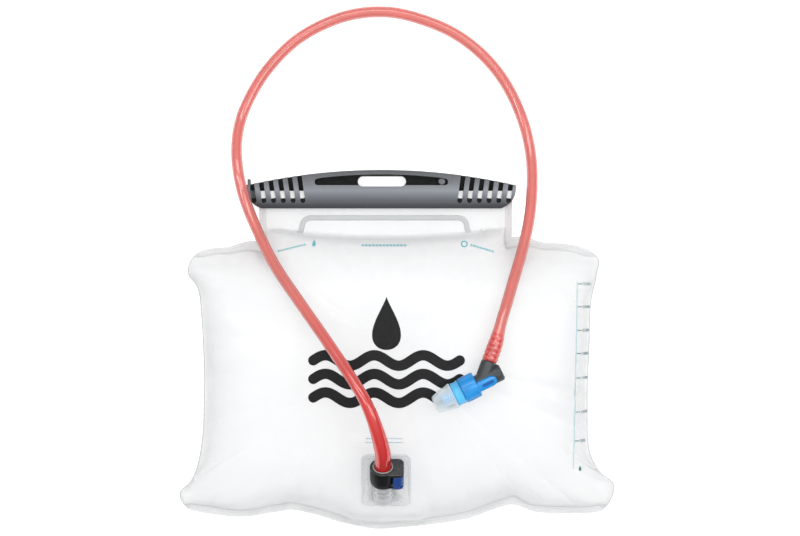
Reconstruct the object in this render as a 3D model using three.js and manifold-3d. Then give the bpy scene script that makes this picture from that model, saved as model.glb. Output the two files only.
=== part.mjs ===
// Hydration bladder lying on its back: a two-panel film reservoir with a slide-seal mouth, a clear
// outlet port with a shut-off valve, a push-button connector, a drinking hose and a twist bite valve.
// Millimetres, +X to the right, +Y towards the filling mouth, +Z up from the table.

import * as THREE from 'three';
import { mergeVertices } from 'three/addons/utils/BufferGeometryUtils.js';
import Module from 'manifold-3d';

const wasm = await Module();
wasm.setup();

// ---------------------------------------------------------------- driving dimensions

const GAP = 0.3;                 // air kept between pieces that touch
const REACH = 60;                // length of a cutter that runs right through a piece
const POKE = 8;                  // length of a cutter that runs through a film or a pad
const DEG = Math.PI / 180;

const BAG = {
  halfWidth: 192, footY: -158, film: 0.8, topZ: 62, seamZ: 22,
  mouthZ: 9, neckLeft: -122, neckRight: 102, mouthY: 140, flatY: 105, bodyY: 40,
  backFullness: 1.35,            // how soon the back panel reaches the table
  bulge: 0.968,                  // share of a spoke that bulges, up to the weld
  weldNarrows: 98,               // where the weld starts to narrow towards the mouth
};
const CLOSURE = {
  left: -133, right: 105, bottomY: 124.3, crownY: 158, shoulderY: 144.5, depth: 18, corner: 13, tuck: 4,
  cavityY: [130.4, 140.4], cavityHalf: 5.05, throatHalf: 1.6,
  lens: { left: -72.6, right: 44.9, y: [144.5, 150.6], rise: 3.4, depth: 6.5 },
  window: { left: -34.8, right: 7.9, y: 148.1, height: 9.4 },
  slots: { count: 6, pitch: 8.6, width: 4.2, firstLeft: -125.8, firstRight: 55, tilt: 8, y: 128.9, depth: 5 },
  stop: { x: [1, 3.4], below: [8, 18], inset: 4 },
};
const RAIL = { y: [131, 139.6], height: 3.5 };
const BAND = { left: -85, right: 62.5, topY: 119, footY: 106.4, width: 4.4, radius: 10, thickness: 0.8 };
const PAD = {
  x: -9.5, y: -111.6, width: 43.3, height: 47, thickness: 2.2, radius: 5, z: 50, tilt: 16,
  margin: 8, fade: 16,           // flat film around the pad, and how far it takes to blend away
};
const PORT = {
  x: -12, y: -125.6, z: 57, rise: 38, baseR: 8.5, plugR: 7.5, boreR: 4.9, seatR: 3.5, seatT: 27.8,
  tip: 29.5, shoulder: 17, drainR: 4.2, filmHoleR: 5.7, heel: 8.5, heelShift: 2.4,
  groove: { floor: 6.2, from: 24.4, to: 26.6 }, ridge: 0.7, ridges: [[4, 6.8], [11, 13.8]],
};
const PORT_SEAL = { r: 7, wire: 0.5 };
const RETAINER = { inner: 2.4, from: 4.6, to: 6 };
const POPPET = { stemR: 1.6, from: 8, headR: 4.4, headFrom: 20, noseR: 3.2, noseFrom: 22.6, to: 24 };
const POPPET_SPRING = { r: 3.4, wire: 0.4, from: 6.3, to: 19.8, turns: 6 };
const CONNECTOR = {
  from: 17.4, to: 35.5, r: 11.2, wing: 18, half: 10.5, capFrom: 31.8, travel: 2, wingLeft: -2, wingRadius: 5,
  foot: [[9.6, 0], [10.8, 1.6], [11.2, 5]], recess: 3.6,
  cheek: { right: 6.2, half: 10, radius: 3, rise: 1.5 },
};
const FORK = { inner: 9, outer: 10.1, from: 19.5, to: 21.1, tip: -2 };
const BUTTON_SPRING = { r: 1.9, wire: 0.35, run: 4, turns: 3, pocketR: 2.6, t: 24 };
const SOCKET_R = PORT.plugR + GAP;
const BARB = {
  r: 2.9, root: 2.5, bore: 1.9, noseR: 3, noseFrom: 24.3, length: 16, teeth: 4,
  collar: { r: 8.8, under: 3.3, rim: 0.9, rimWidth: 1.4 },
};
const HOSE = { r: 5, bore: 3.5, sides: 8, steps: 78 };
const VALVE = { x: 72.9, y: -25.1, z: 72, heading: 206.6, legHeading: 70.6, legLength: 18, legR: 6.8 };
const ELBOW = {
  r: 7.35, stub: -18.7, shoulder: 7.5, spigotR: 5, spigotEnd: 22, bore: 2.6, chamfer: 1.2,
  groove: { floor: 4, from: 13, to: 15 }, boss: { r: 2.2, height: 0.9, inset: 3.8 },
};
const ELBOW_SEAL = { r: 4.65, wire: 0.4 };
const COLLAR = { r: 11.2, from: 5, to: 19.4, bore: 8.9, neck: 7.7, neckTo: 8.3, chamfer: 0.8 };
const TONGUE = { from: -11.6, width: 8.6, r: 10.4, lean: -20 };
// Radius and distance along the barrel of the core's and the sheath's turned outlines.
const CORE_PROFILE = [
  [5.35, 8.6], [8.6, 8.6], [8.6, 19.7], [10.2, 19.7], [10.2, 26], [9.2, 26.6], [8.4, 26.6], [8.4, 29],
  [6, 30], [6, 37], [3, 38], [3, 23], [5.35, 22.3], [5.35, 8.6],
];
const SHEATH_PROFILE = [
  [8.7, 26.9], [10.9, 26.9], [11, 28.4], [10.3, 33], [9, 39], [7.6, 44.2], [6.4, 45.4],
  [0, 45.4], [0, 43.6], [5.4, 43.2], [6.4, 38.5], [6.3, 30.3], [8.7, 29.3], [8.7, 26.9],
];
const SLIT = { half: 4.6, width: 0.6, from: 40 };

// ---------------------------------------------------------------- colours

function material(color, roughness, opacity = 1) {
  const transparent = opacity < 1;
  return new THREE.MeshStandardMaterial({ color, roughness, metalness: 0, opacity, transparent });
}

const LOOK = {
  film: () => material(0xeef1f2, 0.35, 0.6),
  band: () => material(0xb9bfc2, 0.4),
  closure: () => material(0x6c7276, 0.45),
  rail: () => material(0xe9ebec, 0.5),
  clear: () => material(0xe4e9ea, 0.15, 0.5),
  black: () => material(0x1d1f21, 0.4),
  charcoal: () => material(0x3a4144, 0.45),
  blue: () => material(0x2f8fe0, 0.35),
  lightBlue: () => material(0x58b4ee, 0.35),
  rubber: () => material(0x161616, 0.8),
  steel: () => new THREE.MeshStandardMaterial({ color: 0xb8bcc0, roughness: 0.3, metalness: 1 }),
  hose: () => material(0xe4716a, 0.25, 0.8),
  silicone: () => material(0xe9f3f8, 0.2, 0.5),
};

// ---------------------------------------------------------------- solid helpers

function toManifold(geometry) {
  const positions = new THREE.BufferGeometry();
  const plain = geometry.index ? geometry.toNonIndexed() : geometry;
  positions.setAttribute('position', plain.getAttribute('position').clone());
  const welded = mergeVertices(positions, 1e-4);
  return new wasm.Manifold(new wasm.Mesh({
    numProp: 3,
    vertProperties: new Float32Array(welded.getAttribute('position').array),
    triVerts: new Uint32Array(welded.index.array),
  }));
}

function fromManifold(solid) {
  const mesh = solid.getMesh();
  const geometry = new THREE.BufferGeometry();
  geometry.setAttribute('position', new THREE.BufferAttribute(new Float32Array(mesh.vertProperties), 3));
  geometry.setIndex(new THREE.BufferAttribute(new Uint32Array(mesh.triVerts), 1));
  geometry.computeVertexNormals();
  return geometry;
}

function join(...geometries) {
  return fromManifold(geometries.map(toManifold).reduce((sum, next) => sum.add(next)));
}

function cut(base, ...tools) {
  return fromManifold(tools.map(toManifold).reduce((rest, tool) => rest.subtract(tool), toManifold(base)));
}

function piece(name, geometry, look) {
  const mesh = new THREE.Mesh(geometry, look());
  mesh.name = name;
  return mesh;
}

function box(x, y, z) {
  const size = [x, y, z].map(([low, high]) => high - low);
  const centre = [x, y, z].map(([low, high]) => (low + high) / 2);
  return new THREE.BoxGeometry(...size).translate(...centre);
}

// Round solid about the local Z axis from a closed or axis-to-axis (radius, z) profile.
function turned(profile, segments = 18) {
  const points = profile.map(([radius, z]) => new THREE.Vector2(radius, z));
  return new THREE.LatheGeometry(points, segments).rotateX(Math.PI / 2);
}

function rod(radius, from, to, segments = 18) {
  return turned([[0, from], [radius, from], [radius, to], [0, to]], segments);
}

function tube(outer, inner, from, to, segments = 18) {
  return turned([[inner, from], [outer, from], [outer, to], [inner, to], [inner, from]], segments);
}

function ring(radius, wire, z, segments = 16) {
  return new THREE.TorusGeometry(radius, wire, 5, segments).translate(0, 0, z);
}

function slab(shape, from, to, curveSegments = 2) {
  const options = { depth: to - from, bevelEnabled: false, curveSegments };
  return new THREE.ExtrudeGeometry(shape, options).translate(0, 0, from);
}

function roundedRect(left, right, bottom, top, radius) {
  const shape = new THREE.Shape();
  shape.moveTo(left + radius, bottom);
  shape.lineTo(right - radius, bottom);
  shape.absarc(right - radius, bottom + radius, radius, -Math.PI / 2, 0, false);
  shape.lineTo(right, top - radius);
  shape.absarc(right - radius, top - radius, radius, 0, Math.PI / 2, false);
  shape.lineTo(left + radius, top);
  shape.absarc(left + radius, top - radius, radius, Math.PI / 2, Math.PI, false);
  shape.lineTo(left, bottom + radius);
  shape.absarc(left + radius, bottom + radius, radius, Math.PI, 1.5 * Math.PI, false);
  return shape;
}

// A tube of the given section that follows a curve.
function sweep(curve, radius, sides, steps, bore = 0) {
  const section = new THREE.Shape().absarc(0, 0, radius, 0, 2 * Math.PI, false);
  if (bore > 0) section.holes.push(new THREE.Path().absarc(0, 0, bore, 0, 2 * Math.PI, true));
  return new THREE.ExtrudeGeometry(section, { steps, curveSegments: sides / 2, extrudePath: curve });
}

class Helix extends THREE.Curve {
  constructor(radius, from, to, turns) {
    super();
    Object.assign(this, { radius, from, to, turns });
  }

  getPoint(t, target = new THREE.Vector3()) {
    const angle = 2 * Math.PI * this.turns * t;
    const z = this.from + (this.to - this.from) * t;
    return target.set(this.radius * Math.cos(angle), this.radius * Math.sin(angle), z);
  }
}

function coil(radius, wire, from, to, turns) {
  const helix = new Helix(radius, from + wire, to - wire, turns);
  return sweep(helix, wire, 6, turns * 8);
}

function clamp01(value) {
  return Math.min(1, Math.max(0, value));
}

function smooth(value) {
  const t = clamp01(value);
  return t * t * (3 - 2 * t);
}

function mix(a, b, t) {
  return a + (b - a) * t;
}

// ---------------------------------------------------------------- reservoir outline and heights

// Weld outline of the body, counter-clockwise from the left of the neck to the right of it.
const BODY_OUTLINE = [
  [-122, 88], [-147, 90], [-169, 88], [-181, 81], [-184.5, 67], [-176, 54], [-172.5, 30], [-170, -25],
  [-173, -89], [-181, -115], [-191.5, -127], [-186, -139], [-161, -145], [-134, -147.5], [-108, -143.5],
  [-92, -141], [-74, -145], [-50, -152], [-17, -158], [3, -157], [30, -154], [64, -148.5],
  [101, -136.6], [121, -143], [150, -144.5], [181, -141.5], [190, -131], [191.8, -119], [180, -108.5],
  [171, -92], [168.5, -60], [170, 0], [172, 43], [177, 65], [179, 80], [165, 89.5], [135, 94], [102, 91],
];
const OUTLINE_SHARE = 2;         // samples per stretch of the body outline
const NECK_STEPS = 8;
const RING_SHARES = [0.4, 0.68, 0.85, 0.95, 1];

function bagOutline() {
  const curve = new THREE.CatmullRomCurve3(BODY_OUTLINE.map(([x, y]) => new THREE.Vector3(x, y, 0)));
  const body = curve.getPoints((BODY_OUTLINE.length - 1) * OUTLINE_SHARE).map((p) => [p.x, p.y]);
  const xs = body.map(([x]) => x);
  const low = Math.min(...xs);
  const high = Math.max(...xs);
  const foot = Math.min(...body.map(([, y]) => y));
  const fitted = body.map(([x, y]) => [
    x < 0 ? x * (-BAG.halfWidth / low) : x * (BAG.halfWidth / high),
    y < 0 ? y * (BAG.footY / foot) : y,
  ]);
  const neck = [[BAG.neckRight, 104], [BAG.neckRight, 122]];
  for (let i = 0; i <= NECK_STEPS; i += 1) {
    neck.push([mix(BAG.neckRight, BAG.neckLeft, i / NECK_STEPS), BAG.mouthY]);
  }
  neck.push([BAG.neckLeft, 122], [BAG.neckLeft, 104]);
  return [...fitted, ...neck];
}

function seamHeight(y) {
  return mix(BAG.seamZ, BAG.mouthZ, smooth((y - BAG.bodyY) / (BAG.flatY - BAG.bodyY)));
}

// Share of a spoke that bulges: the rest is the welded flange, and the flat neck film at the mouth.
function bulgeShare(y) {
  const { bulge, flatY, mouthY, weldNarrows } = BAG;
  return mix(bulge, flatY / mouthY, smooth((y - weldNarrows) / (mouthY - weldNarrows)));
}

// Height of a film that air presses up, as a share of its greatest: 0 along the weld. It is the
// deflection of a membrane held along the outline, relaxed on a square grid.
const SWELL = { step: 4, passes: 260, relax: 1.93, power: 0.42, weld: 5 };

function weldDistance(x, y, outline) {
  let nearest = Infinity;
  let inside = false;
  outline.forEach(([ax, ay], i) => {
    const [bx, by] = outline[(i + 1) % outline.length];
    const length = (bx - ax) ** 2 + (by - ay) ** 2;
    const t = clamp01(((x - ax) * (bx - ax) + (y - ay) * (by - ay)) / length);
    nearest = Math.min(nearest, Math.hypot(x - mix(ax, bx, t), y - mix(ay, by, t)));
    if ((by > y) !== (ay > y) && x < ((bx - ax) * (y - ay)) / (by - ay) + ax) inside = !inside;
  });
  return inside ? nearest : -nearest;
}

function relaxMembrane(outline) {
  const { step, passes, relax, weld } = SWELL;
  const left = -BAG.halfWidth - step;
  const foot = BAG.footY - step;
  const columns = Math.ceil((2 * BAG.halfWidth) / step) + 3;
  const rows = Math.ceil((BAG.mouthY - BAG.footY) / step) + 3;
  const lift = new Float64Array(columns * rows);
  const free = [];
  for (let cell = 0; cell < lift.length; cell += 1) {
    const x = left + (cell % columns) * step;
    const y = foot + Math.floor(cell / columns) * step;
    if (y < BAG.flatY && weldDistance(x, y, outline) > weld) free.push(cell);
  }
  for (let pass = 0; pass < passes; pass += 1) {
    for (const cell of free) {
      const around = lift[cell - 1] + lift[cell + 1] + lift[cell - columns] + lift[cell + columns];
      lift[cell] += relax * ((around + step * step) / 4 - lift[cell]);
    }
  }
  const top = Math.max(...lift);
  return { left, foot, columns, share: lift.map((value) => Math.pow(value / top, SWELL.power)) };
}

const MEMBRANE = relaxMembrane(bagOutline());

function swell(x, y) {
  const { left, foot, columns, share } = MEMBRANE;
  const across = (x - left) / SWELL.step;
  const up = (y - foot) / SWELL.step;
  const cell = Math.floor(up) * columns + Math.floor(across);
  const low = mix(share[cell], share[cell + 1], across % 1);
  const high = mix(share[cell + columns], share[cell + columns + 1], across % 1);
  return mix(low, high, up % 1);
}

function padPlane(y) {
  return PAD.z + (y - PAD.y) * Math.tan(PAD.tilt * DEG);
}

// 1 under the port's pad, fading to 0 around it.
function padWeight(x, y) {
  const dx = Math.abs(x - PAD.x) - PAD.width / 2 - PAD.margin;
  const dy = Math.abs(y - PAD.y) - PAD.height / 2 - PAD.margin;
  return 1 - smooth(Math.hypot(Math.max(dx, 0), Math.max(dy, 0)) / PAD.fade);
}

function frontHeight(x, y, share) {
  const seam = seamHeight(y) + GAP / 2 + BAG.film;
  const free = seam + (BAG.topZ - seam) * swell(x, y);
  return share < 1 ? mix(free, padPlane(y), padWeight(x, y)) : seam;
}

function backHeight(x, y, share) {
  const seam = seamHeight(y) - GAP / 2 - BAG.film;
  return share < 1 ? seam * (1 - Math.min(1, BAG.backFullness * swell(x, y))) : seam;
}

// One panel of film: a polar grid over the outline, given a second skin one film thickness inside.
function panel(height, side) {
  const outline = bagOutline();
  const count = outline.length;
  const outer = [new THREE.Vector3(0, 0, height(0, 0, 0))];
  for (const share of [...RING_SHARES, 2]) {
    for (const [x, y] of outline) {
      const reach = share > 1 ? 1 : share * bulgeShare(y);
      outer.push(new THREE.Vector3(x * reach, y * reach, height(x * reach, y * reach, share)));
    }
  }
  const faces = [];
  for (let i = 0; i < count; i += 1) {
    const next = (i + 1) % count;
    faces.push([0, 1 + i, 1 + next]);
    for (let k = 0; k < RING_SHARES.length; k += 1) {
      const a = 1 + k * count + i;
      const b = 1 + k * count + next;
      faces.push([a, a + count, b + count], [a, b + count, b]);
    }
  }
  const skin = new THREE.BufferGeometry().setFromPoints(outer);
  skin.setIndex(faces.flat());
  skin.computeVertexNormals();
  const normal = skin.getAttribute('normal');
  const rim = outer.length - count;
  const inner = outer.map((p, i) => {
    const inward = new THREE.Vector3().fromBufferAttribute(normal, i);
    if (i >= rim) inward.set(0, 0, 1);
    return p.clone().addScaledVector(inward, side * -BAG.film);
  });
  const flip = outer.length;
  const walls = faces.map(([a, b, c]) => (side > 0 ? [a, b, c] : [a, c, b]));
  walls.push(...walls.map(([a, b, c]) => [a + flip, c + flip, b + flip]));
  for (let i = 0; i < count; i += 1) {
    const a = rim + i;
    const b = rim + ((i + 1) % count);
    const quad = [[a, a + flip, b + flip], [a, b + flip, b]];
    walls.push(...quad.map(([p, q, r]) => (side > 0 ? [p, q, r] : [p, r, q])));
  }
  const solid = new THREE.BufferGeometry().setFromPoints([...outer, ...inner]);
  solid.setIndex(walls.flat());
  return solid;
}

// ---------------------------------------------------------------- reservoir pieces

function frontPanel() {
  const drain = rod(PORT.filmHoleR, -POKE, POKE);
  return piece('front_panel', cut(panel(frontHeight, 1), onPad(drain, drainOffset())), LOOK.film);
}

function backPanel() {
  return piece('back_panel', panel(backHeight, -1), LOOK.film);
}

function mouthRail(name, side) {
  const inner = BAG.mouthZ + side * (GAP / 2 + BAG.film + GAP);
  const outer = inner + side * RAIL.height;
  const z = [Math.min(inner, outer), Math.max(inner, outer)];
  return piece(name, box([BAG.neckLeft, BAG.neckRight], RAIL.y, z), LOOK.rail);
}

// Arch of stiff film welded round the neck, open towards the body.
function neckBand() {
  const low = BAND.footY - REACH;
  const outer = roundedRect(BAND.left, BAND.right, low, BAND.topY, BAND.radius);
  const inner = roundedRect(
    BAND.left + BAND.width, BAND.right - BAND.width,
    low - POKE, BAND.topY - BAND.width, BAND.radius - BAND.width,
  );
  const z = BAG.mouthZ + GAP / 2 + BAG.film + GAP;
  const arch = cut(
    slab(outer, z, z + BAND.thickness),
    slab(inner, z - POKE, z + POKE),
    box([BAND.left - POKE, BAND.right + POKE], [low - POKE, BAND.footY], [z - POKE, z + POKE]),
  );
  return piece('neck_band', arch, LOOK.band);
}

// ---------------------------------------------------------------- slide closure

function closureOutline() {
  const { left, right, bottomY, crownY, shoulderY, corner, tuck } = CLOSURE;
  const middle = (left + right) / 2;
  const half = (right - left) / 2;
  const rise = crownY - shoulderY;
  const radius = (half * half + rise * rise) / (2 * rise);
  const sweepAngle = Math.asin(half / radius);
  const shape = new THREE.Shape();
  shape.moveTo(left + corner, bottomY);
  shape.lineTo(right - corner, bottomY);
  shape.quadraticCurveTo(right, bottomY + tuck, right, shoulderY);
  shape.absarc(middle, crownY - radius, radius, Math.PI / 2 - sweepAngle, Math.PI / 2 + sweepAngle, false);
  shape.quadraticCurveTo(left, bottomY + tuck, left + corner, bottomY);
  return shape;
}

function fingerLens() {
  const { left, right, y, rise } = CLOSURE.lens;
  const shape = new THREE.Shape();
  shape.moveTo(left, y[0]);
  shape.lineTo(right, y[0]);
  shape.lineTo(right, y[1]);
  shape.quadraticCurveTo((left + right) / 2, y[1] + 2 * rise, left, y[1]);
  return shape;
}

function ribSlots() {
  const { count, pitch, width, firstLeft, firstRight, tilt, y, depth } = CLOSURE.slots;
  const slots = [];
  for (const [first, lean] of [[firstLeft, 1], [firstRight, -1]]) {
    for (let i = 0; i < count; i += 1) {
      const slot = roundedRect(-width / 2, width / 2, 0, REACH, width / 2 - 0.01);
      const solid = slab(slot, 0, REACH).rotateZ(lean * tilt * DEG);
      slots.push(solid.translate(first + i * pitch, y, CLOSURE.depth - depth));
    }
  }
  return slots;
}

function slideClosure() {
  const { left, right, bottomY, crownY, depth, cavityY, cavityHalf, throatHalf, lens, window } = CLOSURE;
  const run = [left - POKE, right + POKE];
  const cavity = box(run, cavityY, [BAG.mouthZ - cavityHalf, BAG.mouthZ + cavityHalf]);
  const throatY = [bottomY - POKE, cavityY[0] + GAP];
  const throat = box(run, throatY, [BAG.mouthZ - throatHalf, BAG.mouthZ + throatHalf]);
  const { height } = window;
  const slot = roundedRect(
    window.left, window.right, window.y - height / 2, window.y + height / 2, height / 2 - 0.01,
  );
  const body = cut(
    slab(closureOutline(), 0, depth, 6),
    cavity,
    throat,
    slab(fingerLens(), depth - lens.depth, depth + POKE, 6),
    slab(slot, -POKE, depth + POKE, 3),
    ...ribSlots(),
  );
  const { x, below, inset } = CLOSURE.stop;
  const stop = box(
    [left + x[0], left + x[1]], [crownY - below[1], crownY - below[0]], [inset, depth - inset],
  );
  return piece('slide_closure', join(body, stop), LOOK.closure);
}

// ---------------------------------------------------------------- outlet port

// Places a solid made around the pad's own centre and normal.
function onPad(geometry, [across, along] = [0, 0]) {
  return geometry
    .translate(across, along, 0)
    .rotateX(PAD.tilt * DEG)
    .translate(PAD.x, PAD.y, PAD.z);
}

// The drain hole sits under the spigot's heel.
function drainOffset() {
  return [PORT.x - PAD.x, (PORT.y - PAD.y) / Math.cos(PAD.tilt * DEG) + PORT.heelShift];
}

// Places a solid made along local Z on the port's axis; local X stays +X.
function onPort(geometry) {
  return geometry.rotateX((PORT.rise - 90) * DEG).translate(PORT.x, PORT.y, PORT.z);
}

function portBody() {
  const { width, height, radius, thickness } = PAD;
  const plate = roundedRect(-width / 2, width / 2, -height / 2, height / 2, radius);
  const pad = onPad(slab(plate, GAP, GAP + thickness));
  const { groove, plugR, baseR, shoulder, tip, ridge, ridges } = PORT;
  const heel = onPad(rod(baseR, GAP, PORT.heel), drainOffset());
  const lip = ridge / 2;
  const rings = ridges.flatMap(([from, to]) => [
    [baseR, from], [baseR + ridge, from + lip], [baseR + ridge, to - lip], [baseR, to],
  ]);
  const spigot = onPort(turned([
    [0, 0], [baseR, 0], ...rings, [baseR, shoulder],
    [plugR, shoulder], [plugR, groove.from], [groove.floor, groove.from], [groove.floor, groove.to],
    [plugR, groove.to], [plugR, tip], [0, tip],
  ]));
  const ball = onPort(new THREE.SphereGeometry(baseR, 16, 10));
  const bore = onPort(rod(PORT.boreR, 0, PORT.seatT));
  const seat = onPort(rod(PORT.seatR, PORT.seatT - GAP, tip + POKE));
  const drain = onPad(rod(PORT.drainR, -POKE, PORT.heel), drainOffset());
  return piece('port_body', cut(join(pad, heel, ball, spigot), bore, seat, drain), LOOK.clear);
}

function portSeal() {
  const { from, to } = PORT.groove;
  return piece('port_o_ring', onPort(ring(PORT_SEAL.r, PORT_SEAL.wire, (from + to) / 2)), LOOK.rubber);
}

function springRetainer() {
  const { inner, from, to } = RETAINER;
  return piece('spring_retainer', onPort(tube(PORT.boreR - GAP, inner, from, to)), LOOK.black);
}

// Held open by the connector's nose at rest; it closes on the seat when the connector leaves.
function portPoppet() {
  const { stemR, from, headR, headFrom, noseR, noseFrom, to } = POPPET;
  const head = turned([
    [0, from], [stemR, from], [stemR, headFrom], [headR, headFrom + 0.4], [headR, noseFrom],
    [noseR, to], [0, to],
  ]);
  return piece('port_poppet', onPort(head), LOOK.rail);
}

function poppetSpring() {
  const { r, wire, from, to, turns } = POPPET_SPRING;
  return piece('poppet_spring', onPort(coil(r, wire, from, to, turns)), LOOK.steel);
}

// ---------------------------------------------------------------- connector

function wingShape(inset) {
  const { wing, half, wingLeft, wingRadius } = CONNECTOR;
  return roundedRect(wingLeft, wing - inset, inset - half, half - inset, wingRadius);
}

function connectorBody() {
  const { from, to, r, capFrom, wing, foot, travel } = CONNECTOR;
  const rounding = foot.map(([x, z]) => [x, from + z]);
  const barrel = turned([[0, from], ...rounding, [r, to], [0, to]], 24);
  const cap = slab(wingShape(0), capFrom, to, 5);
  const { right, half, radius, rise } = CONNECTOR.cheek;
  const cheeks = slab(roundedRect(CONNECTOR.wingLeft, right, -half, half, radius), from + rise, capFrom, 5);
  const socket = rod(SOCKET_R, from - POKE, PORT.tip + GAP);
  const nosePassage = rod(BARB.noseR + GAP, from, to);
  const recess = rod(BARB.collar.r + GAP, to - CONNECTOR.recess, to + POKE);
  const slotX = [FORK.tip - travel - 2 * GAP, wing];
  const slotZ = [FORK.from - GAP, FORK.to + GAP];
  const forkSlots = [-1, 1].map((side) => (
    box(slotX, sorted(side * (FORK.inner - GAP), side * (FORK.outer + GAP)), slotZ)
  ));
  const body = cut(join(barrel, cap, cheeks), socket, nosePassage, recess, ...forkSlots);
  return piece('connector_body', onPort(body), LOOK.black);
}

function sorted(a, b) {
  return [Math.min(a, b), Math.max(a, b)];
}

// Thumb button with the two-pronged latch fork that straddles the spigot.
function releaseButton() {
  const { from, capFrom, r, travel, wing } = CONNECTOR;
  const { pocketR, run, t } = BUTTON_SPRING;
  const { tip, inner, outer } = FORK;
  const shell = cut(
    slab(wingShape(GAP / 2), from + 2 * GAP, capFrom - GAP, 5),
    rod(r + travel + GAP, 0, REACH, 24),
    rod(pocketR, r, r + run + GAP, 12).rotateY(Math.PI / 2).translate(0, 0, t),
  );
  const forkZ = [FORK.from, FORK.to];
  const prongs = [-1, 1].map((side) => box([tip, wing - 3], sorted(side * inner, side * outer), forkZ));
  const web = box([r + travel + 2 * GAP, wing - 1], [-outer, outer], forkZ);
  return piece('release_button', onPort(join(shell, web, ...prongs)), LOOK.blue);
}

function buttonSpring() {
  const { r, wire, run, turns, t } = BUTTON_SPRING;
  const wall = CONNECTOR.r;
  const spring = coil(r, wire, wall + GAP, wall + run, turns).rotateY(Math.PI / 2).translate(0, 0, t);
  return piece('button_spring', onPort(spring), LOOK.steel);
}

// Saw-tooth rings that the hose is pushed over.
function barbTeeth(from) {
  const teeth = [];
  const pitch = (BARB.length - 3) / BARB.teeth;
  for (let i = 0; i < BARB.teeth; i += 1) {
    teeth.push([BARB.root, from + i * pitch + 1], [BARB.r, from + i * pitch + 1.2]);
  }
  teeth.push([BARB.root, from + BARB.length - 1.6], [BARB.bore, from + BARB.length]);
  return teeth;
}

// Stem with a nose that lifts the poppet, a retaining flange with a raised rim, and the barbs.
function hoseBarb() {
  const { to } = CONNECTOR;
  const { bore, root, noseR, noseFrom } = BARB;
  const { r, under, rim, rimWidth } = BARB.collar;
  const profile = [
    [bore, noseFrom], [noseR, noseFrom], [noseR, to - under], [r, to - under], [r, to + rim / 2],
    [r - rimWidth / 2, to + rim], [r - rimWidth, to + rim / 2], [r - rimWidth, to - 1],
    [root, to - 1], ...barbTeeth(to - 1), [bore, noseFrom],
  ];
  return piece('hose_barb', onPort(turned(profile)), LOOK.black);
}

// ---------------------------------------------------------------- bite valve

// Places a solid made along local Z on the valve's barrel axis; local Y points up.
function onValve(geometry, heading = VALVE.heading) {
  return geometry
    .rotateY(Math.PI / 2)
    .rotateX(Math.PI / 2)
    .rotateZ(heading * DEG)
    .translate(VALVE.x, VALVE.y, VALVE.z);
}

function elbowBody() {
  const { r, stub, shoulder, spigotR, spigotEnd, bore, chamfer, groove } = ELBOW;
  const barrel = onValve(turned([
    [0, stub], [r - chamfer, stub], [r, stub + chamfer], [r, shoulder], [spigotR, shoulder],
    [spigotR, groove.from], [groove.floor, groove.from], [groove.floor, groove.to], [spigotR, groove.to],
    [spigotR, spigotEnd], [0, spigotEnd],
  ]));
  const { legR, legLength, legHeading } = VALVE;
  const barb = barbTeeth(legLength).slice(0, -1);
  const leg = onValve(turned([
    [0, 0], [legR, 0], [legR - 0.3, legLength], [BARB.root, legLength],
    ...barb, [BARB.bore, legLength + BARB.length], [0, legLength + BARB.length],
  ]), legHeading);
  const outlet = onValve(rod(bore, -bore, spigotEnd + POKE, 12));
  const inlet = onValve(rod(BARB.bore, 0, legLength + BARB.length + POKE, 12), legHeading);
  const knob = rod(ELBOW.boss.r, -ELBOW.boss.height / 2, ELBOW.boss.height / 2, 12);
  const boss = onValve(knob.rotateX(-Math.PI / 2).translate(0, r, stub + ELBOW.boss.inset));
  return piece('elbow_body', cut(join(barrel, leg, boss), outlet, inlet), LOOK.charcoal);
}

function spigotSeal() {
  const { from, to } = ELBOW.groove;
  return piece('spigot_o_ring', onValve(ring(ELBOW_SEAL.r, ELBOW_SEAL.wire, (from + to) / 2)), LOOK.rubber);
}

function twistCollar() {
  const { r, from, to, bore, neck, neckTo, chamfer } = COLLAR;
  const sleeve = turned([
    [neck, from], [r - chamfer, from], [r, from + chamfer], [r, to - chamfer], [r - chamfer, to], [bore, to],
    [bore, neckTo], [neck, neckTo], [neck, from],
  ], 24);
  const half = TONGUE.width / 2;
  const tab = roundedRect(-half, half, TONGUE.from, from + 3, half - 0.01);
  const tongue = cut(
    slab(tab, 0, r + 1, 4).rotateX(Math.PI / 2).rotateZ(Math.PI),
    rod(neck, TONGUE.from - POKE, from + POKE, 24),
    tube(REACH, TONGUE.r, TONGUE.from - POKE, from + POKE, 24),
  ).rotateZ(TONGUE.lean * DEG);
  return piece('twist_collar', onValve(join(sleeve, tongue)), LOOK.blue);
}

// Core that turns with the collar, with the stem that the soft sheath is stretched over.
function valveCore() {
  return piece('valve_core', onValve(turned(CORE_PROFILE, 24)), LOOK.lightBlue);
}

function biteSheath() {
  const { half, width, from } = SLIT;
  const slit = box([-half, half], [-width / 2, width / 2], [from, from + REACH]);
  return piece('bite_sheath', onValve(cut(turned(SHEATH_PROFILE), slit)), LOOK.silicone);
}

// ---------------------------------------------------------------- hose

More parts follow.
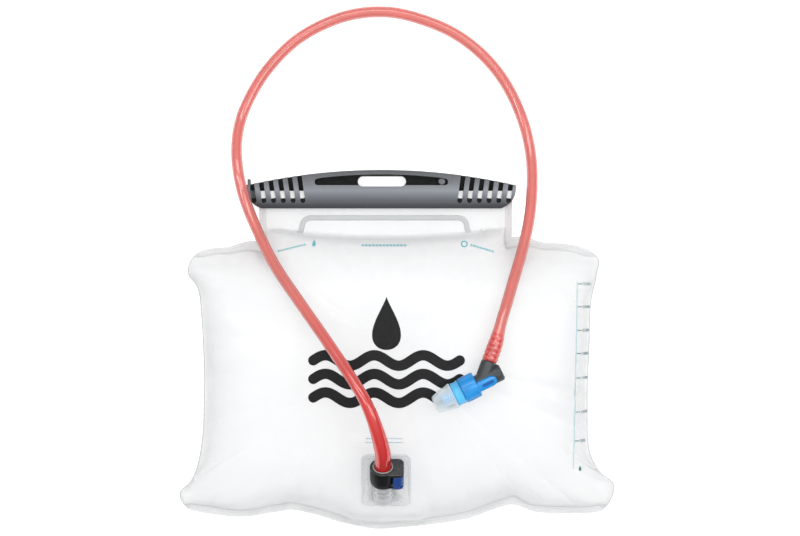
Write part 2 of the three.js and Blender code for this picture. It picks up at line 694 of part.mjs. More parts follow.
// Free route between the two barbs: an arch over the bag, down past the mouth, then a loop on the table.
const ROUTE = [
  [-17.3, -62.8, 101.3], [-22.7, -47.6, 104.5], [-29.4, -34.3, 103.3], [-38, -21.5, 98.8],
  [-46.8, -8.5, 92.4], [-55.6, 3.7, 86.6], [-64.1, 16.1, 80.4], [-73.5, 28.4, 73.5], [-82.5, 40.9, 66.3],
  [-91.7, 53.4, 59.7], [-100.9, 66.1, 52.6], [-109.5, 79.6, 45], [-117, 93.9, 37.4],
  [-124.1, 108.2, 31.4], [-130.6, 123, 27.2], [-136, 138, 25], [-139.2, 154, 24.6],
  [-141.5, 170.5, 20.6], [-141.5, 187, 13.4], [-139, 203.5, 7.6], [-132.5, 219.5, 5.4], [-125, 233.5, 5.1],
  [-116.5, 246.5, 5.1], [-106, 258.5, 5.1], [-94.8, 270, 5.1], [-81.5, 279.5, 5.1], [-67.6, 287, 5.1],
  [-53, 293, 5.1], [-37.3, 297.5, 5.1], [-21.2, 299, 5.1], [-5.5, 299, 5.1], [10, 296, 5.1],
  [25.2, 291, 5.1], [40.3, 285.5, 5.1], [54.4, 278, 5.1], [67.5, 268.5, 5.1], [79.6, 257.5, 5.1],
  [89.7, 245.5, 5.1], [98.8, 232, 5.1], [105.8, 217.5, 5.2], [111.8, 203, 6.1], [115.8, 187.5, 8.4],
  [118.6, 171.4, 12.2], [119.3, 155.2, 17.3], [118.7, 139, 22.9], [117.2, 122.8, 28.6],
  [114.4, 107.4, 34.3], [110.3, 91.3, 40.3], [105.6, 76, 46.9], [100.6, 61.2, 53.9], [96, 45.6, 60.6],
  [90.9, 30.8, 66.6],
];

function along(direction, start, distance) {
  return start.clone().addScaledVector(direction, distance);
}

function hoseCurve() {
  const rise = PORT.rise * DEG;
  const portAxis = new THREE.Vector3(0, Math.cos(rise), Math.sin(rise));
  const portRoot = new THREE.Vector3(PORT.x, PORT.y, PORT.z);
  const start = CONNECTOR.to - 1 + GAP;
  const heading = VALVE.legHeading * DEG;
  const legAxis = new THREE.Vector3(Math.cos(heading), Math.sin(heading), 0);
  const legRoot = new THREE.Vector3(VALVE.x, VALVE.y, VALVE.z);
  const end = VALVE.legLength + GAP;
  return new THREE.CatmullRomCurve3([
    along(portAxis, portRoot, start), along(portAxis, portRoot, start + BARB.length / 2),
    along(portAxis, portRoot, start + BARB.length),
    ...ROUTE.map((p) => new THREE.Vector3(...p)),
    along(legAxis, legRoot, end + BARB.length), along(legAxis, legRoot, end + BARB.length / 2),
    along(legAxis, legRoot, end),
  ]);
}

function hose() {
  return piece('hose', sweep(hoseCurve(), HOSE.r, HOSE.sides, HOSE.steps, HOSE.bore), LOOK.hose);
}

// ---------------------------------------------------------------- assembly

const bladder = new THREE.Group();
bladder.add(
  frontPanel(), backPanel(), mouthRail('front_mouth_rail', 1), mouthRail('back_mouth_rail', -1), neckBand(),
  slideClosure(), portBody(), portSeal(), springRetainer(), portPoppet(), poppetSpring(),
  connectorBody(), hoseBarb(), releaseButton(), buttonSpring(), hose(),
  elbowBody(), spigotSeal(), twistCollar(), valveCore(), biteSheath(),
);

export default bladder;
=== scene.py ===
"""Looks of the hydration bladder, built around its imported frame. Metres, +Z up, lying on its back."""

import math

import bmesh
import bpy
import numpy as np
from mathutils import Matrix, Vector
from mathutils.bvhtree import BVHTree
from mathutils.geometry import delaunay_2d_cdt


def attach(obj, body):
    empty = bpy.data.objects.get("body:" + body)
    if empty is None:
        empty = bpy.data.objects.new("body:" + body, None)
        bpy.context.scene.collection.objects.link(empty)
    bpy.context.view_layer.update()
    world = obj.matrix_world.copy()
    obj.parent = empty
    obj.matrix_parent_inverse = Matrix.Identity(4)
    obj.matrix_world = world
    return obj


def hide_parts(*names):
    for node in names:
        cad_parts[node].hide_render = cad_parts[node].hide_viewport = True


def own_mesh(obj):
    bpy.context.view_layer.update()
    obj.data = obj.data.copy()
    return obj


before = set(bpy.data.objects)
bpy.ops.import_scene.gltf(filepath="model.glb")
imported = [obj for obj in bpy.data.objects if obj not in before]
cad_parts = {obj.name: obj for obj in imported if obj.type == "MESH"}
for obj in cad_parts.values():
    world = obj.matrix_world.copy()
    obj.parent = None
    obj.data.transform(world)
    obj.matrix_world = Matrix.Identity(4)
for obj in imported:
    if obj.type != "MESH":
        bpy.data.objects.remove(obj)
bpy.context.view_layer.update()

MM = 0.001

# ------------ driving dimensions, in mm

GAP = 0.3
TOP_Z, SEAM_Z, MOUTH_Z = 62.0, 22.0, 9.0
HALF_WIDTH, FOOT_Y, MOUTH_Y, BODY_Y = 192.0, -158.0, 140.0, 40.0
NECK_LEFT, NECK_RIGHT = -122.0, 102.0
FLAT_Y, NECK_RAMP_Y, FLAT_SAG = 99.5, 105.0, 6.5

BODY_OUTLINE = [
    (-122, 88), (-147, 90), (-169, 88), (-181, 81), (-184.5, 67), (-176, 54), (-172.5, 30), (-170, -25),
    (-173, -89), (-181, -115), (-191.5, -127), (-186, -139), (-161, -145), (-134, -147.5), (-108, -143.5),
    (-92, -141), (-74, -145), (-50, -152), (-17, -158), (3, -157), (30, -154), (64, -148.5),
    (101, -136.6), (121, -143), (150, -144.5), (181, -141.5), (190, -131), (191.8, -119), (180, -108.5),
    (171, -92), (168.5, -60), (170, 0), (172, 43), (177, 65), (179, 80), (165, 89.5), (135, 94), (102, 91),
]

PAD = {"x": -9.5, "y": -111.6, "width": 43.3, "height": 47.0, "z": 50.0, "tilt": 16.0, "thick": 2.2,
       "corner": 5.0, "lip": 2.0, "floor": 1.5}
PORT = {"x": -12.0, "y": -125.6, "z": 57.0, "rise": 38.0, "r": 8.5, "heel_shift": 2.4}
VALVE = {"x": 72.9, "y": -25.1, "z": 72.0, "heading": 206.6, "leg": 70.6, "leg_length": 18.0}
HOSE_R, HOSE_BORE, HOSE_LENGTH = 5.0, 3.3, 929.0
BARB_ROOT, BARB_LENGTH, TOOTH_PITCH = 34.5, 16.0, 3.25
BARB_BORE, STEM_R, TOOTH_R = 1.9, 2.5, 2.9

# ------------ small maths


def smooth(t):
    t = np.clip(t, 0, 1)
    return t * t * (3 - 2 * t)


def mix(a, b, t):
    return a + (b - a) * t


def unit(rows):
    """Each row scaled to length 1."""
    return rows / np.linalg.norm(rows, axis=1)[:, None]


def run_along(path):
    """Distance along the path to each of its points."""
    return np.concatenate([[0], np.cumsum(np.linalg.norm(np.diff(path, axis=0), axis=1))])


def spline(points, per_stretch):
    """Centripetal Catmull-Rom curve through an open list of points, ends included."""
    p = np.array(points, float)
    p = np.vstack([2 * p[0] - p[1], p, 2 * p[-1] - p[-2]])
    out = []
    for i in range(1, len(p) - 2):
        a, b, c, d = p[i - 1], p[i], p[i + 1], p[i + 2]
        t0, t1 = 0.0, np.linalg.norm(b - a) ** 0.5
        t2 = t1 + np.linalg.norm(c - b) ** 0.5
        t3 = t2 + np.linalg.norm(d - c) ** 0.5
        for t in np.linspace(t1, t2, per_stretch, endpoint=False):
            ab = mix(a, b, (t - t0) / (t1 - t0))
            bc = mix(b, c, (t - t1) / (t2 - t1))
            cd = mix(c, d, (t - t2) / (t3 - t2))
            abc = mix(ab, bc, (t - t0) / (t2 - t0))
            bcd = mix(bc, cd, (t - t1) / (t3 - t1))
            out.append(mix(abc, bcd, (t - t1) / (t2 - t1)))
    return np.array(out + [p[-2]])


def bend(a, b, c, steps):
    """Curve from a to c that leans towards b, both ends included."""
    return [tuple((1 - t) ** 2 * a + 2 * t * (1 - t) * b + t * t * c) for t in np.linspace(0, 1, steps)]


def arc(cx, cy, radius, start, sweep, steps):
    """Points of an arc about (cx, cy), both ends included, angles in degrees."""
    angles = np.radians(np.linspace(start, start + sweep, steps + 1))
    return [(cx + radius * math.cos(a), cy + radius * math.sin(a)) for a in angles]


def even(points, count, closed=False):
    """The same line with its points spaced evenly."""
    p = np.array(points, float)
    if closed:
        p = np.vstack([p, p[:1]])
    run = run_along(p)
    at = np.linspace(0, run[-1], count, endpoint=not closed)
    return np.stack([np.interp(at, run, p[:, k]) for k in range(p.shape[1])], axis=1)


def wave_noise(u, wavelength, count, seed, total=None):
    """Smooth random wave along u, mostly within -1 and 1. With a total length it joins up with itself."""
    pick = np.random.default_rng(seed)
    wave = np.zeros_like(u, float)
    for _ in range(count):
        period = wavelength * pick.uniform(0.7, 1.5)
        if total:
            period = total / max(1, round(total / period))
        wave += np.sin(2 * math.pi * u / period + pick.uniform(0, 2 * math.pi))
    return wave / math.sqrt(count)


# ------------ mesh helpers


def add_object(name, data):
    obj = bpy.data.objects.new(name, data)
    bpy.context.scene.collection.objects.link(obj)
    return obj


def new_object(name, verts, faces, smooth_shade=True):
    mesh = bpy.data.meshes.new(name)
    mesh.from_pydata([tuple(v) for v in verts], [], [tuple(int(i) for i in f) for f in faces])
    mesh.validate()
    if smooth_shade:
        mesh.shade_smooth()
    return add_object(name, mesh)


def smooth_by_angle(obj, degrees=35):
    obj.data.shade_smooth()
    obj.data.set_sharp_from_angle(angle=math.radians(degrees))
    return obj


def apply_modifiers(obj):
    graph = bpy.context.evaluated_depsgraph_get()
    done = bpy.data.meshes.new_from_object(obj.evaluated_get(graph))
    obj.modifiers.clear()
    old = obj.data
    obj.data = done
    bpy.data.meshes.remove(old)
    return obj


def carve(obj, cutters, operation="DIFFERENCE"):
    """Cuts away or joins on each of the cutters in turn, and removes it."""
    for cutter in cutters:
        step = obj.modifiers.new("carve", "BOOLEAN")
        step.operation = operation
        step.solver = "EXACT"
        step.object = cutter
        apply_modifiers(obj)
        bpy.data.objects.remove(cutter)
    return obj


def bevel(obj, width, segments=3, degrees=30):
    step = obj.modifiers.new("bevel", "BEVEL")
    step.width = width * MM
    step.segments = segments
    step.limit_method = "ANGLE"
    step.angle_limit = math.radians(degrees)
    step.use_clamp_overlap = True
    apply_modifiers(obj)
    return smooth_by_angle(obj)


def edit_mesh(obj, edit):
    bm = bmesh.new()
    bm.from_mesh(obj.data)
    edit(bm)
    bm.to_mesh(obj.data)
    bm.free()
    return obj


def fix_normals(obj):
    return edit_mesh(obj, lambda bm: bmesh.ops.recalc_face_normals(bm, faces=bm.faces))


def dissolve_flat(obj, degrees):
    def edit(bm):
        bmesh.ops.remove_doubles(bm, verts=bm.verts, dist=1e-6)
        bmesh.ops.dissolve_limit(bm, angle_limit=math.radians(degrees), verts=bm.verts, edges=bm.edges)
    return edit_mesh(obj, edit)


def fillet(profile, radius=0.35, steps=4):
    """Rounds the corners of a closed profile of (radius, z) points that lie off the axis."""
    p = np.array(profile, float)
    out = []
    n = len(p)
    for i in range(n):
        a, b, c = p[i - 1], p[i], p[(i + 1) % n]
        before, after = a - b, c - b
        lb, la = np.linalg.norm(before), np.linalg.norm(after)
        if b[0] < 1e-6 or lb < 1e-6 or la < 1e-6:
            out.append(tuple(b))
            continue
        reach = min(radius, lb * 0.45, la * 0.45)
        s, e = b + before / lb * reach, b + after / la * reach
        out += bend(s, b, e, steps)
    return out


def turned(name, profile, radius=0.35, segments=96):
    """Solid of revolution about local Z. The profile starts and ends on the axis, or closes on itself."""
    rows, verts = [], []
    for r, z in fillet(profile, radius):
        if r < 1e-6:
            rows.append([len(verts)] * segments)
            verts.append((0, 0, z * MM))
        else:
            rows.append(list(range(len(verts), len(verts) + segments)))
            for k in range(segments):
                angle = 2 * math.pi * k / segments
                verts.append((r * MM * math.cos(angle), r * MM * math.sin(angle), z * MM))
    faces = []
    for i in range(len(rows)):
        a, b = rows[i], rows[(i + 1) % len(rows)]
        if a[0] == a[1] and b[0] == b[1]:
            continue
        for k in range(segments):
            m = (k + 1) % segments
            ring = [a[k], a[m], b[m], b[k]]
            faces.append([v for j, v in enumerate(ring) if v != ring[j - 1]])
    return smooth_by_angle(fix_normals(new_object(name, verts, faces)), 40)


def rod(name, radius, low, high, segments=64):
    return turned(name, [(0, low), (radius, low), (radius, high), (0, high)], 0.0, segments)


def skin(rings, sides, closed=False):
    """Quads between neighbouring rings of points, and from the last ring to the first if closed."""
    faces = []
    for i in range(rings if closed else rings - 1):
        a, b = i * sides, (i + 1) % rings * sides
        faces += [(a + k, a + (k + 1) % sides, b + (k + 1) % sides, b + k) for k in range(sides)]
    return faces


def end_caps(rings, sides):
    last = (rings - 1) * sides
    return [tuple(range(sides)), tuple(range(last, last + sides))[::-1]]


def prism(name, outline, low, high):
    """Upright solid over a flat outline, in mm."""
    n = len(outline)
    verts = [(x * MM, y * MM, low * MM) for x, y in outline]
    verts += [(x * MM, y * MM, high * MM) for x, y in outline]
    return fix_normals(new_object(name, verts, end_caps(2, n) + skin(2, n), False))


def box(name, x, y, z):
    outline = [(x[0], y[0]), (x[1], y[0]), (x[1], y[1]), (x[0], y[1])]
    return prism(name, outline, z[0], z[1])


def rounded_rect(left, right, bottom, top, radius, steps=8):
    points = []
    for x, y, start in ((right, bottom, -90), (right, top, 0), (left, top, 90), (left, bottom, 180)):
        cx = x + radius if x == left else x - radius
        cy = y + radius if y == bottom else y - radius
        points += arc(cx, cy, radius, start, 90, steps)
    return points


def placed(obj, matrix):
    obj.data.transform(matrix)
    return obj


def shift(x, y, z):
    """Move by x, y and z mm."""
    return Matrix.Translation(Vector((x, y, z)) * MM)


def turn(degrees, axis):
    return Matrix.Rotation(math.radians(degrees), 4, axis)


def paint(obj, material):
    obj.data.materials.clear()
    obj.data.materials.append(material)


def finish_piece(obj, body, material, slot, *nodes):
    paint(obj, material)
    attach(obj, body)
    if nodes:
        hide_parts(*nodes)
    return obj


# ------------ frames of the tilted pieces


def on_port():
    """From mm-built metres along local Z to the port's own axis."""
    return shift(PORT["x"], PORT["y"], PORT["z"]) @ turn(PORT["rise"] - 90, "X")


def on_pad():
    return shift(PAD["x"], PAD["y"], PAD["z"]) @ turn(PAD["tilt"], "X")


def on_valve(heading=VALVE["heading"]):
    """Local Z runs along the barrel or leg, local Y points up."""
    place = shift(VALVE["x"], VALVE["y"], VALVE["z"])
    return place @ turn(heading, "Z") @ turn(90, "X") @ turn(90, "Y")


# ------------ materials

PLASTIC_GRAIN = 2600


def set_sockets(node, values):
    """Sets sockets by name, with underscores for the spaces."""
    for key, value in values.items():
        node.inputs[key.replace("_", " ")].default_value = value


def add_node(material, kind, **values):
    node = material.node_tree.nodes.new("ShaderNode" + kind)
    set_sockets(node, values)
    return node


def link(material, source, target):
    material.node_tree.links.new(source, target)


def surface(name, color, roughness=0.4, **sockets):
    material = bpy.data.materials.new(name)
    material.use_nodes = True
    shader = material.node_tree.nodes["Principled BSDF"]
    set_sockets(shader, {"Base_Color": (*color, 1), "Roughness": roughness, **sockets})
    return material, shader


def noise(material, scale, detail=3.0, stretch=None):
    texture = add_node(material, "TexNoise", Scale=scale, Detail=detail)
    source = add_node(material, "TexCoord").outputs["Object"]
    if stretch:
        mapping = add_node(material, "Mapping", Scale=stretch)
        link(material, source, mapping.inputs["Vector"])
        source = mapping.outputs["Vector"]
    link(material, source, texture.inputs["Vector"])
    return texture.outputs["Fac"]


def ramp(material, source, stops):
    """Colours or greys by the source's value."""
    node = add_node(material, "ValToRGB")
    elements = node.color_ramp.elements
    while len(elements) < len(stops):
        elements.new(0.5)
    for element, (at, color) in zip(elements, stops):
        element.position = at
        element.color = (*color, 1) if isinstance(color, tuple) else (color, color, color, 1)
    link(material, source, node.inputs["Fac"])
    return node.outputs["Color"]


def axis_of(material, coords, axis):
    """One axis of the object's own coordinates or of the sky's direction."""
    axes = add_node(material, "SeparateXYZ")
    link(material, add_node(material, "TexCoord").outputs[coords], axes.inputs["Vector"])
    return axes.outputs[axis]


def add_bump(material, shader, height, strength, distance):
    bump = add_node(material, "Bump", Strength=strength, Distance=distance)
    link(material, height, bump.inputs["Height"])
    link(material, bump.outputs["Normal"], shader.inputs["Normal"])


def add_grain(material, shader, scale, strength, distance, stretch=None):
    """Fine bumps over the whole surface."""
    add_bump(material, shader, noise(material, scale, 2, stretch), strength, distance)


def vary_roughness(material, shader, low, high, scale):
    spread = ramp(material, noise(material, scale), [(0.3, low), (0.7, high)])
    link(material, spread, shader.inputs["Roughness"])


def clouded(material, cloud, color, low, high=1, start=0.3, end=0.7):
    """The colour times low to high, by a cloud of noise."""
    dark, light = (tuple(min(1, c * k) for c in color) for k in (low, high))
    return ramp(material, cloud, [(start, dark), (end, light)])


def blend_colors(material, factor, a, b):
    """Mixes from colour output a to b, which is an output or a plain colour."""
    node = add_node(material, "Mix")
    node.data_type = "RGBA"
    link(material, factor, node.inputs["Factor"])
    link(material, a, node.inputs["A"])
    if isinstance(b, tuple):
        node.inputs["B"].default_value = (*b, 1)
    else:
        link(material, b, node.inputs["B"])
    return node.outputs["Result"]


def plastic_finish(material, shader, roughness, grain=0.25):
    """Fine spark-eroded grain and a gloss that varies a little."""
    vary_roughness(material, shader, roughness * 0.85, roughness * 1.15, 220)
    add_grain(material, shader, PLASTIC_GRAIN, grain, 0.00006)


def moulded(name, color, roughness, grain=0.25, tint=0.12, **sockets):
    """Injection-moulded plastic with a little cloudiness in its colour."""
    material, shader = surface(name, color, roughness, **sockets)
    tones = clouded(material, noise(material, 90, 2), color, 1 - tint, 1 + tint)
    link(material, tones, shader.inputs["Base Color"])
    plastic_finish(material, shader, roughness, grain)
    return material


def edge_on(material, stops):
    """0 where the surface faces the ray, 1 where it is edge on, passed through a ramp."""
    angle = add_node(material, "LayerWeight", Blend=0.5)
    return ramp(material, angle.outputs["Facing"], stops)


def see_through(name, color, roughness, facing, grazing, grain=(700, 0.1, 0.0001)):
    """Milky or clear sheet: it hides more of what is behind it where it is seen edge on."""
    material, shader = surface(name, color, roughness, IOR=1.45)
    tones = clouded(material, noise(material, 24), color, 0.97, 1, 0.35, 0.65)
    link(material, tones, shader.inputs["Base Color"])
    vary_roughness(material, shader, roughness * 0.8, roughness * 1.25, 60)
    cover = edge_on(material, [(0.02, facing), (0.4, mix(facing, grazing, 0.55)), (0.9, grazing)])
    link(material, cover, shader.inputs["Alpha"])
    add_grain(material, shader, *grain)
    return material


def tinted_tube(name, body, rim, deep, glassy):
    """Soft tube, part glass and part cloudy; only its glass deepens where the wall is met edge on."""
    sockets = {"Coat_Weight": 1.0, "Coat_IOR": 1.6, "Coat_Roughness": 0.12, "IOR": 1.42}
    material, cloudy = surface(name, body, 0.14, **sockets)
    glass = add_node(material, "BsdfPrincipled", Transmission_Weight=1.0, **sockets)
    haze = noise(material, 40, 2)
    tones = [clouded(material, haze, tone, 0.94) for tone in (body, rim)]
    wall = blend_colors(material, edge_on(material, [(0.14, 0), (0.46, 1)]), *tones)
    stretch = add_node(material, "Attribute")
    stretch.attribute_name = "stretch"
    for shader, color in ((cloudy, tones[0]), (glass, wall)):
        tint = blend_colors(material, stretch.outputs["Fac"], color, deep)
        link(material, tint, shader.inputs["Base Color"])
        vary_roughness(material, shader, 0.1, 0.18, 120)
        add_grain(material, shader, 900, 0.08, 0.0001)
    both = add_node(material, "MixShader", Fac=glassy)
    link(material, cloudy.outputs["BSDF"], both.inputs[1])
    link(material, glass.outputs["BSDF"], both.inputs[2])
    link(material, both.outputs["Shader"], material.node_tree.nodes["Material Output"].inputs["Surface"])
    return material


def graded_plastic(name, stops, low, high, roughness):
    """Moulded plastic whose colour, painted light and shade, goes from the first colour at y = low mm to the
    last at y = high mm.
    """
    material, shader = surface(name, stops[0][1], roughness)
    span = add_node(material, "MapRange", From_Min=low * MM, From_Max=high * MM)
    link(material, axis_of(material, "Object", "Y"), span.inputs["Value"])
    link(material, ramp(material, span.outputs["Result"], stops), shader.inputs["Base Color"])
    plastic_finish(material, shader, roughness)
    return material


def ink(name, color):
    material, shader = surface(name, color, 0.5, Specular_IOR_Level=0.2)
    vary_roughness(material, shader, 0.42, 0.58, 300)
    add_grain(material, shader, 1500, 0.2, 0.00004)
    return material


def steel():
    material, shader = surface("spring_steel", (0.62, 0.64, 0.66), 0.28, Metallic=1.0)
    vary_roughness(material, shader, 0.2, 0.38, 500)
    add_grain(material, shader, 1400, 0.15, 0.00004, (1, 1, 6))
    return material


FILM_LOOK = see_through("milky_film", (0.73, 0.74, 0.745), 0.2, 0.4, 0.97, (140, 0.05, 0.0006))
WELD_LOOK = see_through("weld_film", (0.66, 0.67, 0.675), 0.25, 0.5, 0.97)
# the closure's grey plastic with painted light and shade: a painted highlight band just below the finger
# pocket, and painted shade darkening towards the bottom edge and, less, towards the top
CLOSURE_PAINTED_SHADING_LOOK = graded_plastic(
    "closure_grey_painted_shading",
    [(0, (0.02, 0.022, 0.026)), (0.2, (0.078, 0.086, 0.098)), (0.47, (0.21, 0.23, 0.255)),
     (0.62, (0.14, 0.15, 0.165)), (0.8, (0.085, 0.09, 0.1)), (1, (0.06, 0.063, 0.07))], 123, 159, 0.38,
)
# near-black painted shade for the closure's pocket and slot faces and for the button's fork prongs
PAINTED_SHADE_LOOK = moulded("painted_shade_black", (0.006, 0.0065, 0.007), 0.6, Specular_IOR_Level=0.15)
RAIL_LOOK = moulded("rail_white", (0.93, 0.94, 0.94), 0.45, tint=0.05)
BAND_LOOK = see_through("band_grey", (0.6, 0.62, 0.63), 0.35, 0.7, 0.95)
PAD_LOOK = see_through("pad_clear", (0.82, 0.84, 0.85), 0.12, 0.22, 0.95)
PORT_LOOK = see_through("port_clear", (0.6, 0.62, 0.63), 0.1, 0.25, 0.97)
BLACK_LOOK = moulded("connector_black", (0.006, 0.0065, 0.007), 0.3, Specular_IOR_Level=0.12)
# the black plastic painted lighter grey for the cap's top, as painted light
CAP_TOP_PAINTED_LIGHT_LOOK = moulded("connector_cap_painted_light", (0.03, 0.034, 0.035), 0.28)
CHARCOAL_LOOK = moulded("elbow_charcoal", (0.04, 0.046, 0.05), 0.36)
NAVY_LOOK = moulded("button_navy", (0.005, 0.042, 0.21), 0.3, 0.15, Specular_IOR_Level=0.35)
BLUE_LOOK = moulded("collar_blue", (0.012, 0.26, 0.66), 0.22, 0.15)
# darker blue painted shade for the groove in the collar's tongue
GROOVE_PAINTED_SHADE_LOOK = moulded("collar_groove_painted_shade", (0.004, 0.11, 0.4), 0.35, 0.15)
LIGHT_BLUE_LOOK = moulded("core_blue", (0.09, 0.5, 0.86), 0.22, 0.15)
SILICONE_LOOK = see_through("sheath_silicone", (0.88, 0.97, 1.0), 0.1, 0.26, 0.75)
SEAL_LOOK = moulded("seal_rubber", (0.012, 0.012, 0.012), 0.7)
STEEL_LOOK = steel()
# light grey painted highlight for the outer rim of the black barb
RIM_PAINTED_HIGHLIGHT_LOOK = moulded("barb_rim_painted_highlight", (0.34, 0.33, 0.33), 0.3)
HOSE_LOOK = tinted_tube("hose_coral", (1.0, 0.3, 0.26), (0.42, 0.04, 0.04), (0.88, 0.015, 0.012), 0.55)
BLACK_INK = ink("black_ink", (0.006, 0.006, 0.007))
TEAL_INK = ink("teal_ink", (0.15, 0.46, 0.52))
PALE_INK = ink("pale_ink", (0.42, 0.62, 0.67))
SLATE_INK = ink("slate_ink", (0.1, 0.2, 0.21))

# ------------ camera, floor and light


CAMERA = {"x": 0.0026, "y": 0.0715, "z": 1.8, "sees": 0.704, "at": 0.02, "sensor": 36}
AIM = (0, 0.05, 0)
LIGHTS = {
    "right_box": ((0.95, 0.1, 1.9), (0.9, 1.8), 13),
    "left_strip": ((-0.95, 0.2, 1.9), (0.3, 1.4), 7),
    "top_strip": ((0, 1.15, 1.9), (1.8, 0.5), 9),
}
HORIZON, ZENITH, TABLE_GLOW = (0.16, 0.16, 0.17), 1, 0.62


def set_camera():
    """Straight above, as far as its view is CAMERA["sees"] metres wide at the height CAMERA["at"]."""
    data = bpy.data.cameras.new("camera")
    camera = add_object("camera", data)
    camera.location = (CAMERA["x"], CAMERA["y"], CAMERA["z"])
    data.sensor_width = CAMERA["sensor"]
    data.lens = CAMERA["sensor"] * (CAMERA["z"] - CAMERA["at"]) / CAMERA["sees"]
    data.clip_start = 0.1
    data.clip_end = 20
    bpy.context.scene.camera = camera


def area_light(name, place, size, power):
    data = bpy.data.lights.new(name, "AREA")
    data.shape = "RECTANGLE"
    data.size, data.size_y = size
    data.energy = power
    light = add_object(name, data)
    light.location = place
    light.rotation_euler = (Vector(AIM) - Vector(place)).to_track_quat("-Z", "Y").to_euler()


def set_light():
    """Bright sky straight above and a dim one near the horizon, with strip lights around the bag."""
    world = bpy.data.worlds.new("studio")
    world.use_nodes = True
    background = world.node_tree.nodes["Background"]
    sky = ramp(world, axis_of(world, "Generated", "Z"), [(0, HORIZON), (1, ZENITH)])
    link(world, sky, background.inputs["Color"])
    background.inputs["Strength"].default_value = 1.0
    bpy.context.scene.world = world
    for name, light in LIGHTS.items():
        area_light(name, *light)
    bpy.context.scene.view_settings.view_transform = "Standard"


def add_floor():
    """A pale table that glows a little, like a light box."""
    size, drop_z = 4, -0.1 * MM
    corners = [(x * size, y * size, drop_z) for x, y in ((-1, -1), (1, -1), (1, 1), (-1, 1))]
    floor = new_object("floor", corners, [(0, 1, 2, 3)])
    glow = {"Emission_Color": (1, 1, 1, 1), "Emission_Strength": TABLE_GLOW}
    material, shader = surface("floor_white", (0.8, 0.8, 0.8), 0.6, **glow)
    add_bump(material, shader, noise(material, 30), 0.02, 0.0002)
    paint(floor, material)


set_camera()
set_light()
add_floor()

# ------------ hose

ROUTE = [
    (-17.3, -62.8, 101.3), (-22.7, -47.6, 104.5), (-29.4, -34.3, 103.3), (-38, -21.5, 98.8),
    (-46.8, -8.5, 92.4), (-55.6, 3.7, 86.6), (-64.1, 16.1, 80.4), (-73.5, 28.4, 73.5), (-82.5, 40.9, 66.3),
    (-91.7, 53.4, 59.7), (-100.9, 66.1, 52.6), (-109.5, 79.6, 45), (-117, 93.9, 37.4),
    (-124.1, 108.2, 31.4), (-130.6, 123, 27.2), (-136, 138, 25), (-139.2, 154, 24.6),
    (-141.5, 170.5, 20.6), (-141.5, 187, 13.4), (-139, 203.5, 7.6), (-132.5, 219.5, 5.4), (-125, 233.5, 5.1),
    (-116.5, 246.5, 5.1), (-106, 258.5, 5.1), (-94.8, 270, 5.1), (-81.5, 279.5, 5.1), (-67.6, 287, 5.1),
    (-53, 293, 5.1), (-37.3, 297.5, 5.1), (-21.2, 299, 5.1), (-5.5, 299, 5.1), (10, 296, 5.1),
    (25.2, 291, 5.1), (40.3, 285.5, 5.1), (54.4, 278, 5.1), (67.5, 268.5, 5.1), (79.6, 257.5, 5.1),
    (89.7, 245.5, 5.1), (98.8, 232, 5.1), (105.8, 217.5, 5.2), (111.8, 203, 6.1), (115.8, 187.5, 8.4),
    (118.6, 171.4, 12.2), (119.3, 155.2, 17.3), (118.7, 139, 22.9), (117.2, 122.8, 28.6),
    (114.4, 107.4, 34.3), (110.3, 91.3, 40.3), (105.6, 76, 46.9), (100.6, 61.2, 53.9), (96, 45.6, 60.6),
    (90.9, 30.8, 66.6),
]


HOSE_STEPS = 620


def hose_path():
    rise, leg = math.radians(PORT["rise"]), math.radians(VALVE["leg"])
    port_axis = np.array([0, math.cos(rise), math.sin(rise)])
    leg_axis = np.array([math.cos(leg), math.sin(leg), 0])
    port_root = np.array([PORT["x"], PORT["y"], PORT["z"]])
    leg_root = np.array([VALVE["x"], VALVE["y"], VALVE["z"]])
    start, end = BARB_ROOT + GAP, VALVE["leg_length"] + GAP
    ahead = [port_root + port_axis * (start + d) for d in (0, BARB_LENGTH / 2, BARB_LENGTH)]
    behind = [leg_root + leg_axis * (end + d) for d in (BARB_LENGTH, BARB_LENGTH / 2, 0)]
    route = even(spline([*ahead, *ROUTE, *behind], 12), HOSE_STEPS)
    return relax(route, spread=10.0, held=24.0)


def relax(path, spread, held):
    """The same line with its small sideways kinks rubbed out, held still near its two ends."""
    step = np.linalg.norm(path[1] - path[0])
    reach = int(3 * spread / step)
    kernel = np.exp(-0.5 * (np.arange(-reach, reach + 1) * step / spread) ** 2)
    kernel /= kernel.sum()
    run = np.arange(len(path)) * step
    weight = smooth((np.minimum(run, run[-1] - run) - held) / held)
    out = path.copy()
    for k in range(2):
        padded = np.pad(path[:, k], reach, mode="edge")
        out[:, k] = mix(path[:, k], np.convolve(padded, kernel, "valid"), weight)
    return out


def tube_mesh(name, path, outer, inner=None, sides=40):
    """Tube of changing radius along a path in mm, hollow with a lip at each end, or a solid wire."""
    tangent = unit(np.gradient(path, axis=0))
    normal = np.array([1.0, 0, 0]) - tangent[0] * tangent[0][0]
    normal /= np.linalg.norm(normal)
    frames = []
    for t in tangent:
        normal = normal - t * normal.dot(t)
        normal /= np.linalg.norm(normal)
        frames.append((normal, np.cross(t, normal)))
    rings = list(enumerate(outer))
    if inner is not None:
        rings += [(i, inner[i]) for i in range(len(path))[::-1]]
    verts = []
    for i, radius in rings:
        u, v = frames[i]
        for k in range(sides):
            angle = 2 * math.pi * k / sides
            verts.append((path[i] + (u * math.cos(angle) + v * math.sin(angle)) * radius) * MM)
    faces = skin(len(rings), sides, closed=inner is not None)
    if inner is None:
        faces += end_caps(len(rings), sides)
    return fix_normals(new_object(name, verts, faces))


RIB_PITCH, FIRST_RIB = 4.6, 2.4


